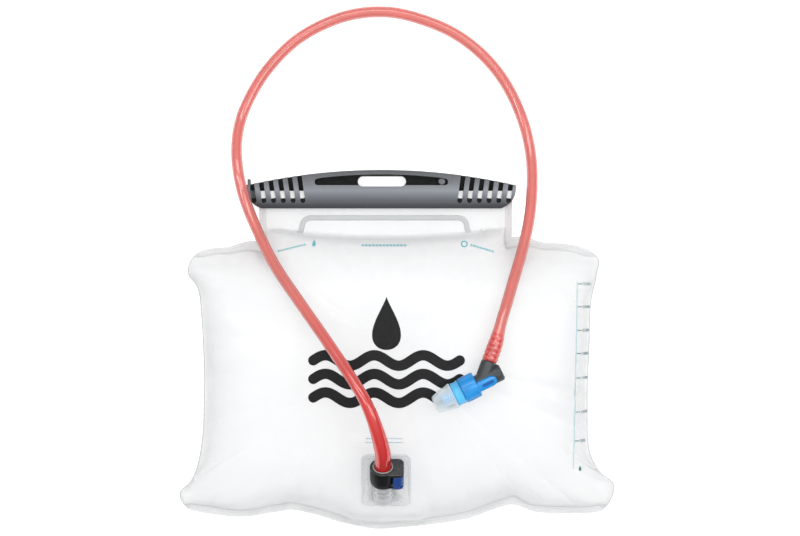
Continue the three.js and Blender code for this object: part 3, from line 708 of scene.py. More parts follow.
def rib_wave(left):
    """1 on each rib over the valve's barb and -1 between, by the distance left to the hose's end."""
    return np.cos(2 * math.pi * (left - FIRST_RIB) / RIB_PITCH)


def hose_radii(path, rest, port_swell, valve_swell, tooth):
    """Radius along the hose: stretched over the barb at each end, ribbed over the valve's teeth."""
    run = run_along(path)
    left = run[-1] - run
    swell = port_swell * (1 - smooth((run - 4) / 78)) + valve_swell * (1 - smooth((left - 10) / 26))
    ribs = tooth * rib_wave(left) * (1 - smooth((left - 21) / 5))
    return rest + swell + ribs


def mark_stretch(obj, path, sides):
    """1 where the hose is tight over a barb, falling to 0 along its free run. Over the valve's ribs it swings
    as painted shade and highlight: deep red in the valleys between ribs, lighter on their crests.
    """
    run = run_along(path)
    near_port = 1 - smooth((run - 16) / 190)
    left = run[-1] - run
    # painted shade between the ribs and a lighter painted highlight on their crests
    near_valve = (0.62 - 0.38 * rib_wave(left)) * (1 - smooth((left - 19) / 9))
    along = np.maximum(near_port, near_valve)
    values = np.repeat(np.concatenate([along, along[::-1]]), sides)
    layer = obj.data.attributes.new("stretch", "FLOAT", "POINT")
    layer.data.foreach_set("value", values.astype(np.float32))


hose_line = hose_path()
HOSE_SIDES = 40
WALL_SWELL, BORE_SWELL = (2.1, 1.6, 0.3), (0.2, 0.2, 0.0)  # at the port, at the valve, and its ribs
hose = tube_mesh(
    "drinking_hose", hose_line, hose_radii(hose_line, HOSE_R, *WALL_SWELL),
    hose_radii(hose_line, HOSE_BORE, *BORE_SWELL), HOSE_SIDES,
)
mark_stretch(hose, hose_line, HOSE_SIDES)
finish_piece(hose, "hose_set", HOSE_LOOK, "hose_tube", "hose")

# ------------ bag film

SPOKES, RINGS, WELD_RINGS = 560, 46, 10
WELD = 6.0
DROOP = (8, 76)  # how far the weld hangs in degrees, at the foot and at the sides
POWER = 0.47  # below 1 fills the middle out like a pillow
RIPPLE, RIPPLE_LENGTH, RIPPLE_REACH, RIPPLE_SEED = 1.6, 52, 9, 31
PUCKERS = ((1.3, 19, 15, 3), (2.4, 44, 32, 11))  # height, wavelength, reach and seed
WELD_LINE, WELD_LINES = 0.42, 3
NECK_FOLD, NECK_FOLD_SEED = 0.9, 21
HALF_SEAM = 0.25


def bag_outline():
    body = spline(BODY_OUTLINE, 12)
    low, high, foot = body[:, 0].min(), body[:, 0].max(), body[:, 1].min()
    body[:, 0] *= np.where(body[:, 0] < 0, -HALF_WIDTH / low, HALF_WIDTH / high)
    body[:, 1] *= np.where(body[:, 1] < 0, FOOT_Y / foot, 1)
    neck = [(NECK_RIGHT, MOUTH_Y), (NECK_LEFT, MOUTH_Y)]
    return even(np.vstack([body, neck]), SPOKES, closed=True)


def seam_height(y):
    return mix(SEAM_Z, MOUTH_Z, smooth((y - BODY_Y) / (NECK_RAMP_Y - BODY_Y)))


def flat_line(x):
    """Where the pressed-flat neck opens into the bag: lowest in the middle of the neck."""
    return FLAT_Y + FLAT_SAG * ((x + 10.6) / 102) ** 2


class Grid:
    """Spokes from the middle of the bag to its edge, and rings that crowd towards the weld."""

    def __init__(self):
        rim = bag_outline()
        radius = np.linalg.norm(rim, axis=1)
        tangent = np.roll(rim, -1, 0) - np.roll(rim, 1, 0)
        outward = unit(np.stack([tangent[:, 1], -tangent[:, 0]], 1))
        lean = np.clip((rim * outward).sum(1) / radius, 0.45, 1)
        step = np.linalg.norm(np.roll(rim, -1, 0) - rim, axis=1)
        self.total = step.sum()
        run = np.concatenate([[0], np.cumsum(step)[:-1]])
        side = smooth((np.abs(outward[:, 0]) - 0.45) / 0.35) * smooth((94 - rim[:, 1]) / 10)
        droop = np.radians(mix(*DROOP, side))
        width = (WELD * np.cos(droop) + 0.4) / lean
        weld = rim * (1 - width / radius)[:, None]
        t = np.linspace(0, 1, RINGS + 1)[1:]
        shares = 1 - (1 - t) ** 1.7
        rows = [weld * s for s in shares]
        rows += [mix(weld, rim, k / WELD_RINGS) for k in range(1, WELD_RINGS + 1)]
        self.flat = self.bend_to_crease(np.vstack([[[0.0, 0.0]], *rows]))
        inner = np.concatenate([np.full(SPOKES, 1 - s) for s in shares])
        kernel = np.exp(-0.5 * (np.arange(-24, 25) / 9) ** 2)
        reach = np.linalg.norm(weld, axis=1) * lean
        reach = np.convolve(np.pad(reach, 24, mode="wrap"), kernel / kernel.sum(), "valid")
        weld_radius = np.tile(reach, RINGS)
        self.depth = np.concatenate([[200.0], inner * weld_radius, np.zeros(SPOKES * WELD_RINGS)])
        past = np.repeat(np.arange(1, WELD_RINGS + 1) / WELD_RINGS, SPOKES)
        self.past = np.concatenate([[0.0], np.zeros(SPOKES * RINGS), past])
        self.runs, self.droops = (
            np.concatenate([[0.0], np.tile(values, RINGS + WELD_RINGS)]) for values in (run, droop)
        )
        self.faces = self.build_faces()

    def around(self, wavelength, seed):
        """Random wave along the weld."""
        return wave_noise(self.runs, wavelength, 9, seed, self.total)

    def bend_to_crease(self, flat):
        """Moves the neck's rings so that one of them lies along the crease."""
        middle = 1 + np.argmin(np.abs(bag_outline()[:, 0]) + 1000 * (bag_outline()[:, 1] < MOUTH_Y - 1))
        column = flat[middle::SPOKES, 1]
        ring_y = column[np.argmin(np.abs(column - FLAT_Y))]
        x, y = flat.T
        near = smooth(1 - np.abs(y - ring_y) / 34) * (y > 0)
        inside = smooth((x - NECK_LEFT + 30) / 30) * smooth((NECK_RIGHT + 30 - x) / 30)
        return np.column_stack([x, y + (flat_line(x) - ring_y) * near * inside])

    def build_faces(self):
        fan = [(0, 1 + i, 1 + (i + 1) % SPOKES) for i in range(SPOKES)]
        return fan + [(1 + a, 1 + d, 1 + c, 1 + b) for a, b, c, d in skin(RINGS + WELD_RINGS, SPOKES)]

    def triangles(self):
        out = []
        for face in self.faces[: SPOKES * RINGS]:
            out.append(face[:3])
            if len(face) == 4:
                out.append((face[0], face[2], face[3]))
        return np.array(out)

    def membrane(self):
        """Height of a film pressed up by air and held along the weld, from 0 to 1."""
        tri = self.triangles()
        p = self.flat
        count = 1 + SPOKES * RINGS
        weights = []
        load = np.zeros(count)
        for k in range(3):
            a, b, c = tri[:, k], tri[:, (k + 1) % 3], tri[:, (k + 2) % 3]
            u, v = p[b] - p[a], p[c] - p[a]
            cross = np.abs(u[:, 0] * v[:, 1] - u[:, 1] * v[:, 0])
            cot = (u * v).sum(1) / np.maximum(cross, 1e-9)
            weights.append((b, c, cot / 2))
            load += np.bincount(a, cross / 6, count)
        i = np.concatenate([w[0] for w in weights] + [w[1] for w in weights])
        j = np.concatenate([w[1] for w in weights] + [w[0] for w in weights])
        w = np.concatenate([x[2] for x in weights] * 2)
        diagonal = np.bincount(i, w, count)
        free = np.ones(count, bool)
        free[1 + SPOKES * (RINGS - 1):] = False
        free &= p[:count, 1] < flat_line(p[:count, 0]) - 0.6
        x = np.zeros(count)
        r = np.where(free, load, 0)
        z = r / diagonal
        direction = z.copy()
        score = r @ z
        for _ in range(900):
            ad = diagonal * direction - np.bincount(i, w * direction[j], count)
            ad = np.where(free, ad, 0)
            gain = score / (direction @ ad)
            x += gain * direction
            r -= gain * ad
            z = r / diagonal
            fresh = r @ z
            if fresh < 1e-10 * (load @ load):
                break
            direction = z + fresh / score * direction
            score = fresh
        rise = np.zeros(len(p))
        rise[:count] = np.clip(x / x.max(), 0, 1) ** POWER
        return rise


def puckers(grid, wavelength, reach, seed):
    """Rounded ridges between sharp valleys that run in from the weld and fade."""
    drift, tall, long = (grid.around(wavelength * k, seed + i) for i, k in enumerate((5, 3, 2.3)))
    count = round(grid.total / wavelength)
    ridge = np.abs(np.sin(math.pi * count * grid.runs / grid.total + 0.9 * drift)) ** 0.75 - 0.6
    strength = 0.65 + 0.4 * tall
    length = reach * np.clip(0.85 + 0.4 * long, 0.3, 2)
    return ridge * strength * np.exp(-grid.depth / length) * (1 - np.exp(-grid.depth / 2.5))


def crease(x, y, start, end, width, depth):
    """A valley with raised flanks that starts sharp and widens as it fades."""
    ax, ay = start
    bx, by = end
    length = math.hypot(bx - ax, by - ay)
    along = ((x - ax) * (bx - ax) + (y - ay) * (by - ay)) / length ** 2
    off = ((x - ax) * (by - ay) - (y - ay) * (bx - ax)) / length
    taper = np.clip(1 - along, 0, 1) ** 0.9 * smooth((along + 0.08) / 0.16)
    w = width * (0.5 + np.clip(along, 0, 1))
    flank = 0.7 * np.exp(-(((np.abs(off) - 1.4 * w) / w) ** 2))
    return depth * taper * (flank - 1.3 * np.exp(-((off / (0.7 * w)) ** 2)))


CREASES = [
    ((-92, -143), (-78, -108), 7, 2.2), ((101, -139), (90, -104), 7, 2.4), ((-74, -147), (-66, -122), 6, 1.4),
    ((122, -145), (115, -118), 6, 1.5), ((-186, 66), (-158, 54), 7, 2.2), ((180, 62), (154, 50), 7, 2.2),
    ((-186, -113), (-160, -102), 7, 2.2), ((186, -108), (160, -98), 7, 2.2), ((-122, 92), (-106, 70), 7, 1.8),
    ((102, 94), (88, 72), 7, 1.8), ((-150, 90), (-140, 70), 6, 1.4), ((140, 94), (128, 72), 6, 1.4),
]


def pad_weight(x, y):
    dx = np.abs(x - PAD["x"]) - PAD["width"] / 2 - 5
    dy = np.abs(y - PAD["y"]) - PAD["height"] / 2 - 5
    return 1 - smooth(np.hypot(np.maximum(dx, 0), np.maximum(dy, 0)) / 15)


def neck_folds(x, y, seed):
    """Upright folds where the flat neck film opens into the bag."""
    depth = np.maximum(flat_line(x) - y, 0)
    wave = wave_noise(x, 15, 8, seed)
    length = 14 * np.clip(1 + 0.5 * wave_noise(x, 60, 6, seed + 1), 0.4, 2)
    inside = smooth((x - NECK_LEFT - 4) / 14) * smooth((NECK_RIGHT - 4 - x) / 14) * (y > 40)
    return wave * inside * np.exp(-depth / length) * smooth(depth / 6)


def bag_heights(grid, rise):
    x, y = grid.flat.T
    seam = seam_height(y)
    body = smooth((104 - y) / 12)
    ripple = RIPPLE * grid.around(RIPPLE_LENGTH, RIPPLE_SEED) * np.exp(-grid.depth / RIPPLE_REACH) * body
    weld_lines = WELD_LINE * np.cos(2 * math.pi * grid.past * WELD_LINES) * (grid.past > 0)
    edge = seam + ripple - WELD * np.sin(grid.droops) * grid.past
    strong = 1 + 0.5 * smooth((np.abs(x) - 135) / 25)
    small = sum(height * puckers(grid, *rest) for height, *rest in PUCKERS) * strong * body
    for line in CREASES:
        small += crease(x, y, *line) * smooth(grid.depth / 4)
    small += NECK_FOLD * neck_folds(x, y, NECK_FOLD_SEED)
    front = edge + HALF_SEAM + (TOP_Z - edge) * rise + small
    weight = pad_weight(x, y)
    plane = PAD["z"] + (y - PAD["y"]) * math.tan(math.radians(PAD["tilt"]))
    front = mix(front, plane, weight) + weld_lines
    back = np.where(grid.depth > 0, edge * (1 - np.minimum(1, 1.35 * rise)) + 0.35 * small, edge)
    back = np.maximum(back - HALF_SEAM - weld_lines, GAP / 2)
    return front, back


grid = Grid()
rise = grid.membrane()
front_z, back_z = bag_heights(grid, rise)


def film_panel(name, heights, node, flip):
    verts = np.column_stack([grid.flat, heights]) * MM
    faces = [f[::-1] for f in grid.faces] if flip else grid.faces
    panel = new_object(name, verts, faces)
    finish_piece(panel, "reservoir", FILM_LOOK, "film", node)
    panel.data.materials.append(WELD_LOOK)
    for face in panel.data.polygons[SPOKES * RINGS:]:
        face.material_index = 1
    return verts


front_verts = film_panel("bag_front_film", front_z, "front_panel", False)
film_panel("bag_back_film", back_z, "back_panel", True)
front_tree = BVHTree.FromPolygons([tuple(v) for v in front_verts], grid.faces)

# ------------ neck band


def film_hit(x, y):
    """Where a ray from straight above meets the front film, and the film's normal there."""
    return front_tree.ray_cast(Vector((x * MM, y * MM, 0.3)), Vector((0, 0, -1)))[:2]


def neck_band():
    left, right, top, foot, width, radius, flare = -86.3, 64, 118.2, 103.6, 4.6, 10, 1.6
    path = [(left - flare, foot)]
    for cx, start in ((left + radius, 180), (right - radius, 90)):
        path += arc(cx, top - radius, radius, start, -90, 12)
    path.append((right + flare, foot))
    path = even(path, 150)
    tangent = unit(np.gradient(path, axis=0))
    inward = np.stack([tangent[:, 1], -tangent[:, 0]], 1)
    section = [(0, 0), (0.35, 0.75), (1.1, 0.95), (2.2, 0.8), (3.3, 0.95), (4.05, 0.75), (width, 0)]
    verts = []
    n = len(section) + 1
    for p, out in zip(path, inward):
        middle = p + out * width / 2
        spot, _ = film_hit(*middle)
        base = (spot.z / MM if spot else 9.5) + 0.1
        for across, up in section + [(width / 2, -0.25)]:
            q = p + out * across
            verts.append((q[0] * MM, q[1] * MM, (base + up) * MM))
    faces = skin(len(path), n) + end_caps(len(path), n)
    band = smooth_by_angle(fix_normals(new_object("neck_weld_band", verts, faces)), 50)
    finish_piece(band, "reservoir", BAND_LOOK, "band", "neck_band")


neck_band()

# ------------ slide closure

CLOSURE = {
    "left": -133.0, "right": 105.0, "bottom": 124.3, "crown": 158.0, "shoulder": 144.5, "depth": 18.0,
    "corner": 13.0, "tuck": 4.0, "cavity": (130.4, 140.4), "cavity_half": 5.05, "throat": (116, 131),
    "throat_half": 1.6,
}
KNOB = {"x": 39.6, "y": 148.0, "r": 3.3, "low": 10.5, "high": 15.6}
STOP = ((-132, -129.6), (140, 150), (4, 14.5))
BULGE = {"y": 145.5, "half": 21.5, "fall": 4.6, "power": 2.3, "upper": 0.8}
ALONG_X = Matrix(((0, 0, 1), (1, 0, 0), (0, 1, 0))).to_4x4()  # lays an upright prism along X


def closure_outline():
    left, right, low, crown, shoulder = (CLOSURE[k] for k in ("left", "right", "bottom", "crown", "shoulder"))
    middle, half, rise = (left + right) / 2, (right - left) / 2, crown - shoulder
    radius = (half * half + rise * rise) / (2 * rise)
    spread = math.degrees(math.asin(half / radius))
    ends = []
    for end, inset in ((right, -CLOSURE["corner"]), (left, CLOSURE["corner"])):
        ends.append(bend(*np.array([(end + inset, low), (end, low + CLOSURE["tuck"]), (end, shoulder)]), 14))
    crest = arc(middle, crown - radius, radius, 90 - spread, 2 * spread, 69)[1:-1]
    return ends[0] + crest + ends[1][::-1]


def front_height(y):
    u = (y - BULGE["y"]) / BULGE["half"]
    return CLOSURE["depth"] - BULGE["fall"] * abs(u) ** BULGE["power"] * (1 if u < 0 else BULGE["upper"])


def closure_profile():
    """Side view of the closure: flat back, bulging front, as (y, z)."""
    points = [(123, 3.0), (124.3, 1.2), (126, 0), (158.5, 0), (159, 0)]
    points += [(y, front_height(y)) for y in np.linspace(159.0, 124.0, 40)]
    points += [(123.0, 11.5), (122.4, 9.0)]
    return points


LENS = {"left": -72.6, "right": 44.9, "low": 144.5, "high": 150.2, "rise": 3.8, "radius": 2.6, "floor": 11.5}
WINDOW = {"left": -34.8, "right": 7.9, "y": 148.1, "half": 4.7}
SLOTS = {
    "width": 4.2, "pitch": 8.6, "count": 6, "tilt": 8, "y": 128.9, "floor": 12.6, "shelf": 14.5, "step": 4.2,
    "first": (-125.8, 55.0),
}


def lens_outline():
    left, right, low, high, rise, radius, _ = LENS.values()
    steps = 6
    corners = rounded_rect(left, right, low, high, radius, steps)
    crest = []
    for x in np.linspace(right - radius, left + radius, 40)[1:-1]:
        u = (x - (left + right) / 2) / ((right - left) / 2)
        crest.append((x, high + rise * (1 - u * u)))
    upper = 2 * (steps + 1)
    return corners[:upper] + crest + corners[upper:]


def slot_cutters():
    cutters = []
    half = SLOTS["width"] / 2
    for first, lean in zip(SLOTS["first"], (1, -1)):
        for i in range(SLOTS["count"]):
            shallow = prism("slot", rounded_rect(-half, half, 0, 60, half - 0.02, 6), SLOTS["shelf"], 30)
            deep = box("slot", (0.06 - half, half - 0.06), (SLOTS["step"], 59), (SLOTS["floor"], 29))
            move = shift(first + i * SLOTS["pitch"], SLOTS["y"], 0) @ turn(lean * SLOTS["tilt"], "Z")
            cutters += [placed(shallow, move), placed(deep, move)]
    return cutters


def slide_closure():
    c = CLOSURE
    body = prism("zip_slider", closure_outline(), -2, c["depth"] + 4)
    carve(body, [placed(prism("profile", closure_profile(), -200, 200), ALONG_X)], "INTERSECT")
    middle, half = WINDOW["y"], WINDOW["half"]
    window = rounded_rect(WINDOW["left"], WINDOW["right"], middle - half, middle + half, half - 0.02, 10)
    run = (c["left"] - 8, c["right"] + 8)
    tools = [prism("lens", lens_outline(), LENS["floor"], 30), prism("window", window, -5, 30)]
    for part in ("cavity", "throat"):
        tall = c[part + "_half"]
        tools.append(box(part, run, c[part], (MOUTH_Z - tall, MOUTH_Z + tall)))
    carve(body, tools + slot_cutters())
    dissolve_flat(body, 0.5)
    bevel(body, 0.75, 3, 32)
    r, low, high = KNOB["r"], KNOB["low"], KNOB["high"]
    knob = turned("slider_knob", [(0, low), (r, low), (r, high), (0, high)], 1.2, 48)
    placed(knob, shift(KNOB["x"], KNOB["y"], 0))
    for extra in (knob, bevel(box("slider_stop", *STOP), 0.5, 3)):
        finish_piece(extra, "closure", CLOSURE_PAINTED_SHADING_LOOK, "closure", "slide_closure")
    finish_piece(body, "closure", CLOSURE_PAINTED_SHADING_LOOK, "closure", "slide_closure")
    # the pocket and slot faces are painted near black as shade
    shade_faces(body, sunk_in_closure, PAINTED_SHADE_LOOK)


def seen_from(frame_of_piece, spot):
    """A spot of the scene in the piece's own frame, both in mm."""
    return (frame_of_piece.inverted() @ (spot * MM)) / MM


def shade_faces(obj, chosen, material):
    """Gives the faces whose middle is chosen a second material."""
    obj.data.materials.append(material)
    for face in obj.data.polygons:
        if chosen(face.center / MM):
            face.material_index = len(obj.data.materials) - 1


def sunk_in_closure(spot):
    """Inside the finger pocket or a rib slot, below the moulding's front, where the faces are painted near
    black as shade.
    """
    above_floor = spot.z > LENS["floor"] - 0.4
    return above_floor and front_height(spot.y) - spot.z > 0.9 and 127.5 < spot.y < 157


slide_closure()

# ------------ outlet port


def on_drain():
    """The pad's own frame, moved to the drain bore under the spigot's heel."""
    along = (PORT["y"] - PAD["y"]) / math.cos(math.radians(PAD["tilt"])) + PORT["heel_shift"]
    return on_pad() @ shift(PORT["x"] - PAD["x"], along, 0)


def port_body():
    half_w, half_h, r = PAD["width"] / 2, PAD["height"] / 2, PORT["r"]
    lip = PAD["lip"]
    sheet = rounded_rect(-half_w, half_w, -half_h, half_h, PAD["corner"], 10)
    plate = prism("port_pad", sheet, GAP, GAP + PAD["thick"])
    recess = rounded_rect(lip - half_w, half_w - lip, lip - half_h, half_h - lip, 3.6, 10)
    carve(plate, [prism("recess", recess, GAP + PAD["floor"], 9)])
    bevel(plate, 0.35, 3)
    placed(plate, on_pad())
    heel = placed(rod("heel", r, GAP + 0.6, 8.5), on_drain())
    spigot = placed(turned("port_spigot", [
        (0, 0), (r, 0), (r, 4), (9.3, 4.3), (9.3, 6.5), (r, 6.8), (r, 9.2), (9.3, 9.5), (9.3, 11.7), (r, 12),
        (r, 17), (7.5, 17), (7.5, 24.4), (6.2, 24.4), (6.2, 26.6), (7.5, 26.6), (7.5, 29.5), (0, 29.5),
    ], 0.3), on_port())
    ball = edit_mesh(new_object("ball", [], []), lambda bm: bmesh.ops.create_uvsphere(
        bm, u_segments=64, v_segments=32, radius=r * MM))
    carve(spigot, [placed(ball, on_port()), heel], "UNION")
    holes = [placed(rod("bore", 4.9, 0, 27.8), on_port()), placed(rod("seat", 3.5, 27, 40), on_port())]
    carve(spigot, [*holes, placed(rod("drain", 4.2, -9, 8.5), on_drain())])
    # the pad ends where the spigot's heel starts
    carve(plate, [placed(rod("plug", r + 0.02, -3, 9), on_drain())])
    smooth_by_angle(spigot, 35)
    finish_piece(spigot, "reservoir", PORT_LOOK, "clear_plastic", "port_body")
    finish_piece(plate, "reservoir", PAD_LOOK, "clear_plastic", "port_body")


port_body()

# ------------ connector


CONNECTOR = {"from": 17.4, "cap": 31.8, "to": 35.5, "r": 11.2, "wing": 18.0, "half": 10.5, "left": -2.0}
CHEEK = {"right": 6.2, "half": 10.0, "radius": 3.0, "from": 18.9}
FORK = {"inner": 9.0, "outer": 10.1, "from": 19.5, "to": 21.1, "tip": -2.0}


def wing_outline(inset):
    half = CONNECTOR["half"] - inset
    return rounded_rect(CONNECTOR["left"], CONNECTOR["wing"] - inset, -half, half, 5, 12)


def connector_body():
    start, cap_from, end, r = (CONNECTOR[k] for k in ("from", "cap", "to", "r"))
    barrel = turned("coupling", [
        (0, start), (9.6, start), (10.8, start + 1.6), (r, start + 5), (r, end), (0, end),
    ], 0.5)
    cap = bevel(prism("cap", wing_outline(0), cap_from, end), 1.2, 5)
    side = rounded_rect(CONNECTOR["left"], CHEEK["right"], -CHEEK["half"], CHEEK["half"], CHEEK["radius"], 8)
    cheeks = bevel(prism("cheeks", side, CHEEK["from"], cap_from + 1), 0.7, 4)
    carve(barrel, [cap, cheeks], "UNION")
    tools = [rod("socket", 7.8, 9, 29.8), rod("nose", 3.3, 17, 36), rod("recess", 9.1, 31.9, 40)]
    for side in (-1, 1):
        low, high = sorted((side * (FORK["inner"] - GAP), side * (FORK["outer"] + GAP)))
        tools.append(box("slot", (-4.6, 18), (low, high), (FORK["from"] - GAP, FORK["to"] + GAP)))
    carve(barrel, tools)
    bevel(barrel, 0.3, 3, 45)
    finish_piece(placed(barrel, on_port()), "hose_set", BLACK_LOOK, "black_plastic", "connector_body")
    # the top of the cap is painted lighter grey as painted light
    shade_faces(barrel, on_cap_top, CAP_TOP_PAINTED_LIGHT_LOOK)


def on_cap_top(spot):
    return seen_from(on_port(), spot).z > CONNECTOR["to"] - 1.3


def barb_teeth(start):
    teeth = []
    for tooth in start + TOOTH_PITCH * np.arange(4):
        teeth += [(STEM_R, tooth + 1), (TOOTH_R, tooth + 1.2)]
    return teeth + [(STEM_R, start + BARB_LENGTH - 1.6), (BARB_BORE, start + BARB_LENGTH)]


def hose_barb():
    barb = turned("barb_flange", [
        (BARB_BORE, 24.3), (3, 24.3), (3, 32.2), (8.8, 32.2), (8.8, 35.9), (8.3, 36.4), (7.6, 35.9),
        (7.4, BARB_ROOT), (STEM_R, BARB_ROOT), *barb_teeth(BARB_ROOT),
    ], 0.2)
    finish_piece(placed(barb, on_port()), "hose_set", BLACK_LOOK, "black_plastic", "hose_barb")
    # the outer rim of the black barb is painted light grey as a painted highlight
    shade_faces(barb, on_barb_rim, RIM_PAINTED_HIGHLIGHT_LOOK)


def on_barb_rim(spot):
    x, y, z = seen_from(on_port(), spot)
    return z > 35.2 and math.hypot(x, y) > 7.3


def release_button():
    shell = prism("thumb_button", wing_outline(0.15), 18, CONNECTOR["cap"] - GAP)
    bevel(shell, 1.1, 4)
    pocket = placed(rod("pocket", 2.6, 11.2, 15.5), shift(0, 0, SPRING["t"]) @ turn(90, "Y"))
    carve(shell, [rod("well", 13.5, 0, 60), pocket])
    rise = (FORK["from"], FORK["to"])
    for side in (-1, 1):
        prong = box("prong", (FORK["tip"], 15), sorted((side * FORK["inner"], side * FORK["outer"])), rise)
        carve(shell, [prong], "UNION")
    carve(shell, [box("web", (13.8, 17), (-FORK["outer"], FORK["outer"]), rise)], "UNION")
    smooth_by_angle(shell, 30)
    finish_piece(placed(shell, on_port()), "button", NAVY_LOOK, "blue_plastic", "release_button")
    # the fork prongs are painted near black as shade, so they read as the dark inside of the barrel
    shade_faces(shell, on_fork, PAINTED_SHADE_LOOK)


def on_fork(spot):
    x, y, z = seen_from(on_port(), spot)
    return FORK["from"] - 0.1 < z < FORK["to"] + 0.1 and (x < 9.5 or math.hypot(x, y) < 13.4)


SPRING = {
    "r": 1.9, "wire": 0.28, "low": 11.55, "high": 15.1, "turns": 3, "t": 24, "pressed": 0.42, "steps": 150,
}


def button_spring():
    """Coil between the barrel and the button; it shortens as the button is pressed."""
    low, high, r, wire, steps = (SPRING[k] for k in ("low", "high", "r", "wire", "steps"))
    angle = np.linspace(0, 2 * math.pi * SPRING["turns"], steps)
    along = np.linspace(low + wire, high - wire, steps)
    path = np.column_stack([along, r * np.cos(angle), SPRING["t"] + r * np.sin(angle)])
    spring = placed(tube_mesh("coil_spring", path, np.full(steps, wire), sides=10), on_port())
    finish_piece(spring, "hose_set", STEEL_LOOK, "spring_steel", "button_spring")
    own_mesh(spring)


connector_body()
hose_barb()
release_button()
button_spring()

# ------------ bite valve


def elbow_body():
    barrel = placed(turned("elbow", [
        (0, -18.7), (6.1, -18.7), (7.35, -17.4), (7.35, 7.5), (5, 7.5), (5, 13), (4, 13), (4, 15), (5, 15),
        (5, 22), (0, 22),
    ], 0.45), on_valve())
    root = VALVE["leg_length"]
    leg = placed(turned("leg", [
        (0, 0), (6.8, 0), (6.75, root - 1.8), (6.2, root), (STEM_R, root), *barb_teeth(root),
        (0, root + BARB_LENGTH),
    ], 0.4), on_valve(VALVE["leg"]))
    boss = turned("boss", [(0, -0.6), (2.2, -0.6), (2.2, 0.55), (1.5, 0.55), (1.3, 0.15), (0, 0.15)], 0.2, 48)
    placed(boss, on_valve() @ shift(0, 7.35, -14.9) @ turn(-90, "X"))
    carve(barrel, [leg, boss], "UNION")
    outlet = placed(rod("outlet", 2.6, -3, 30), on_valve())
    carve(barrel, [outlet, placed(rod("inlet", BARB_BORE, 0, 42), on_valve(VALVE["leg"]))])
    bevel(barrel, 0.35, 3, 40)
    return finish_piece(barrel, "hose_set", CHARCOAL_LOOK, "charcoal_plastic", "elbow_body")


TONGUE_TURN = -20


def tongue():
    half, start, end = 4.3, -11.6, 8.0
    outline = rounded_rect(-half, half, start, end, half - 0.02, 14)
    upright = turn(180, "Z") @ turn(90, "X")
    tab = placed(prism("tongue", outline, 0, 12), upright)
    carve(tab, [rod("inside", 7.7, start - 8, end + 8)])
    carve(tab, [turned("outside", [(10.4, start - 9), (40, start - 9), (40, end + 9), (10.4, end + 9)], 0)])
    slot = prism("groove", rounded_rect(-1.5, 1.5, start + 3, 2, 1.48, 10), 9.6, 14)
    carve(tab, [placed(slot, upright)])
    bevel(tab, 0.5, 3, 40)
    return placed(tab, turn(TONGUE_TURN, "Z"))


def twist_collar():
    sleeve = turned("collar", [
        (7.7, 5), (10.2, 5), (11.2, 6), (11.2, 18.4), (10.6, 19.4), (8.9, 19.4), (8.9, 8.3), (7.7, 8.3),
    ], 0.6)
    carve(sleeve, [tongue()], "UNION")
    smooth_by_angle(sleeve, 32)
    finish_piece(placed(sleeve, on_valve()), "mouthpiece", BLUE_LOOK, "blue_plastic", "twist_collar")
    # the tongue's groove is painted darker blue as shade
    shade_faces(sleeve, in_tongue_groove, GROOVE_PAINTED_SHADE_LOOK)
    return sleeve


def in_tongue_groove(spot):
    """Close to the floor and walls of the long groove in the tongue, in the valve's own frame, where the blue
    is painted darker as shade.
    """
    x, y, z = seen_from(on_valve() @ turn(TONGUE_TURN, "Z"), spot)
    return abs(x) < 1.7 and 9.3 < y < 10.25 and -9.5 < z < 2.6


def valve_core():
    core = turned("core", [
        (5.35, 8.6), (8.6, 8.6), (8.6, 19.7), (10.6, 19.7), (10.6, 21.2), (10.1, 21.7), (10.1, 25.2),
        (10.6, 25.6), (10.6, 26.2), (9.6, 26.6), (8.4, 26.6), (8.4, 29), (6, 30), (6, 37), (3, 38), (3, 23),
        (5.35, 22.3),
    ], 0.3)
    placed(core, on_valve())
    return finish_piece(core, "mouthpiece", LIGHT_BLUE_LOOK, "light_blue_plastic", "valve_core")


def bite_sheath():
    sheath = turned("sheath", [
        (8.7, 26.9), (11.2, 26.9), (11.3, 28.6), (10.6, 30.4), (10.2, 33), (9, 39), (7.7, 43.8), (6.4, 45.4),
        (0, 45.4), (0, 43.6), (5.4, 43.2), (6.6, 38.5), (6.5, 30.3), (8.7, 29.3),
    ], 0.6)
    carve(sheath, [box("slit", (-4.6, 4.6), (-0.35, 0.35), (40, 55))])
    smooth_by_angle(sheath, 40)
    return finish_piece(placed(sheath, on_valve()), "mouthpiece", SILICONE_LOOK, "silicone", "bite_sheath")


valve_pieces = [elbow_body(), twist_collar(), valve_core(), bite_sheath()]

# ------------ pieces kept from the frame

KEPT = {
    "front_mouth_rail": RAIL_LOOK, "back_mouth_rail": RAIL_LOOK, "port_o_ring": SEAL_LOOK,
    "spring_retainer": BLACK_LOOK, "poppet_spring": STEEL_LOOK, "port_poppet": RAIL_LOOK,
    "spigot_o_ring": SEAL_LOOK,
}
for name, look in KEPT.items():
    paint(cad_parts[name], look)

# ------------ prints


def inside_of(points, loops):
    odd = np.zeros(len(points), bool)
    x, y = points.T
    for loop in loops:
        p = np.array(loop, float)
        q = np.roll(p, -1, 0)
        for (ax, ay), (bx, by) in zip(p, q):
            if ay != by:
                odd ^= ((by > y) != (ay > y)) & (x < (bx - ax) * (y - ay) / (by - ay) + ax)
    return odd


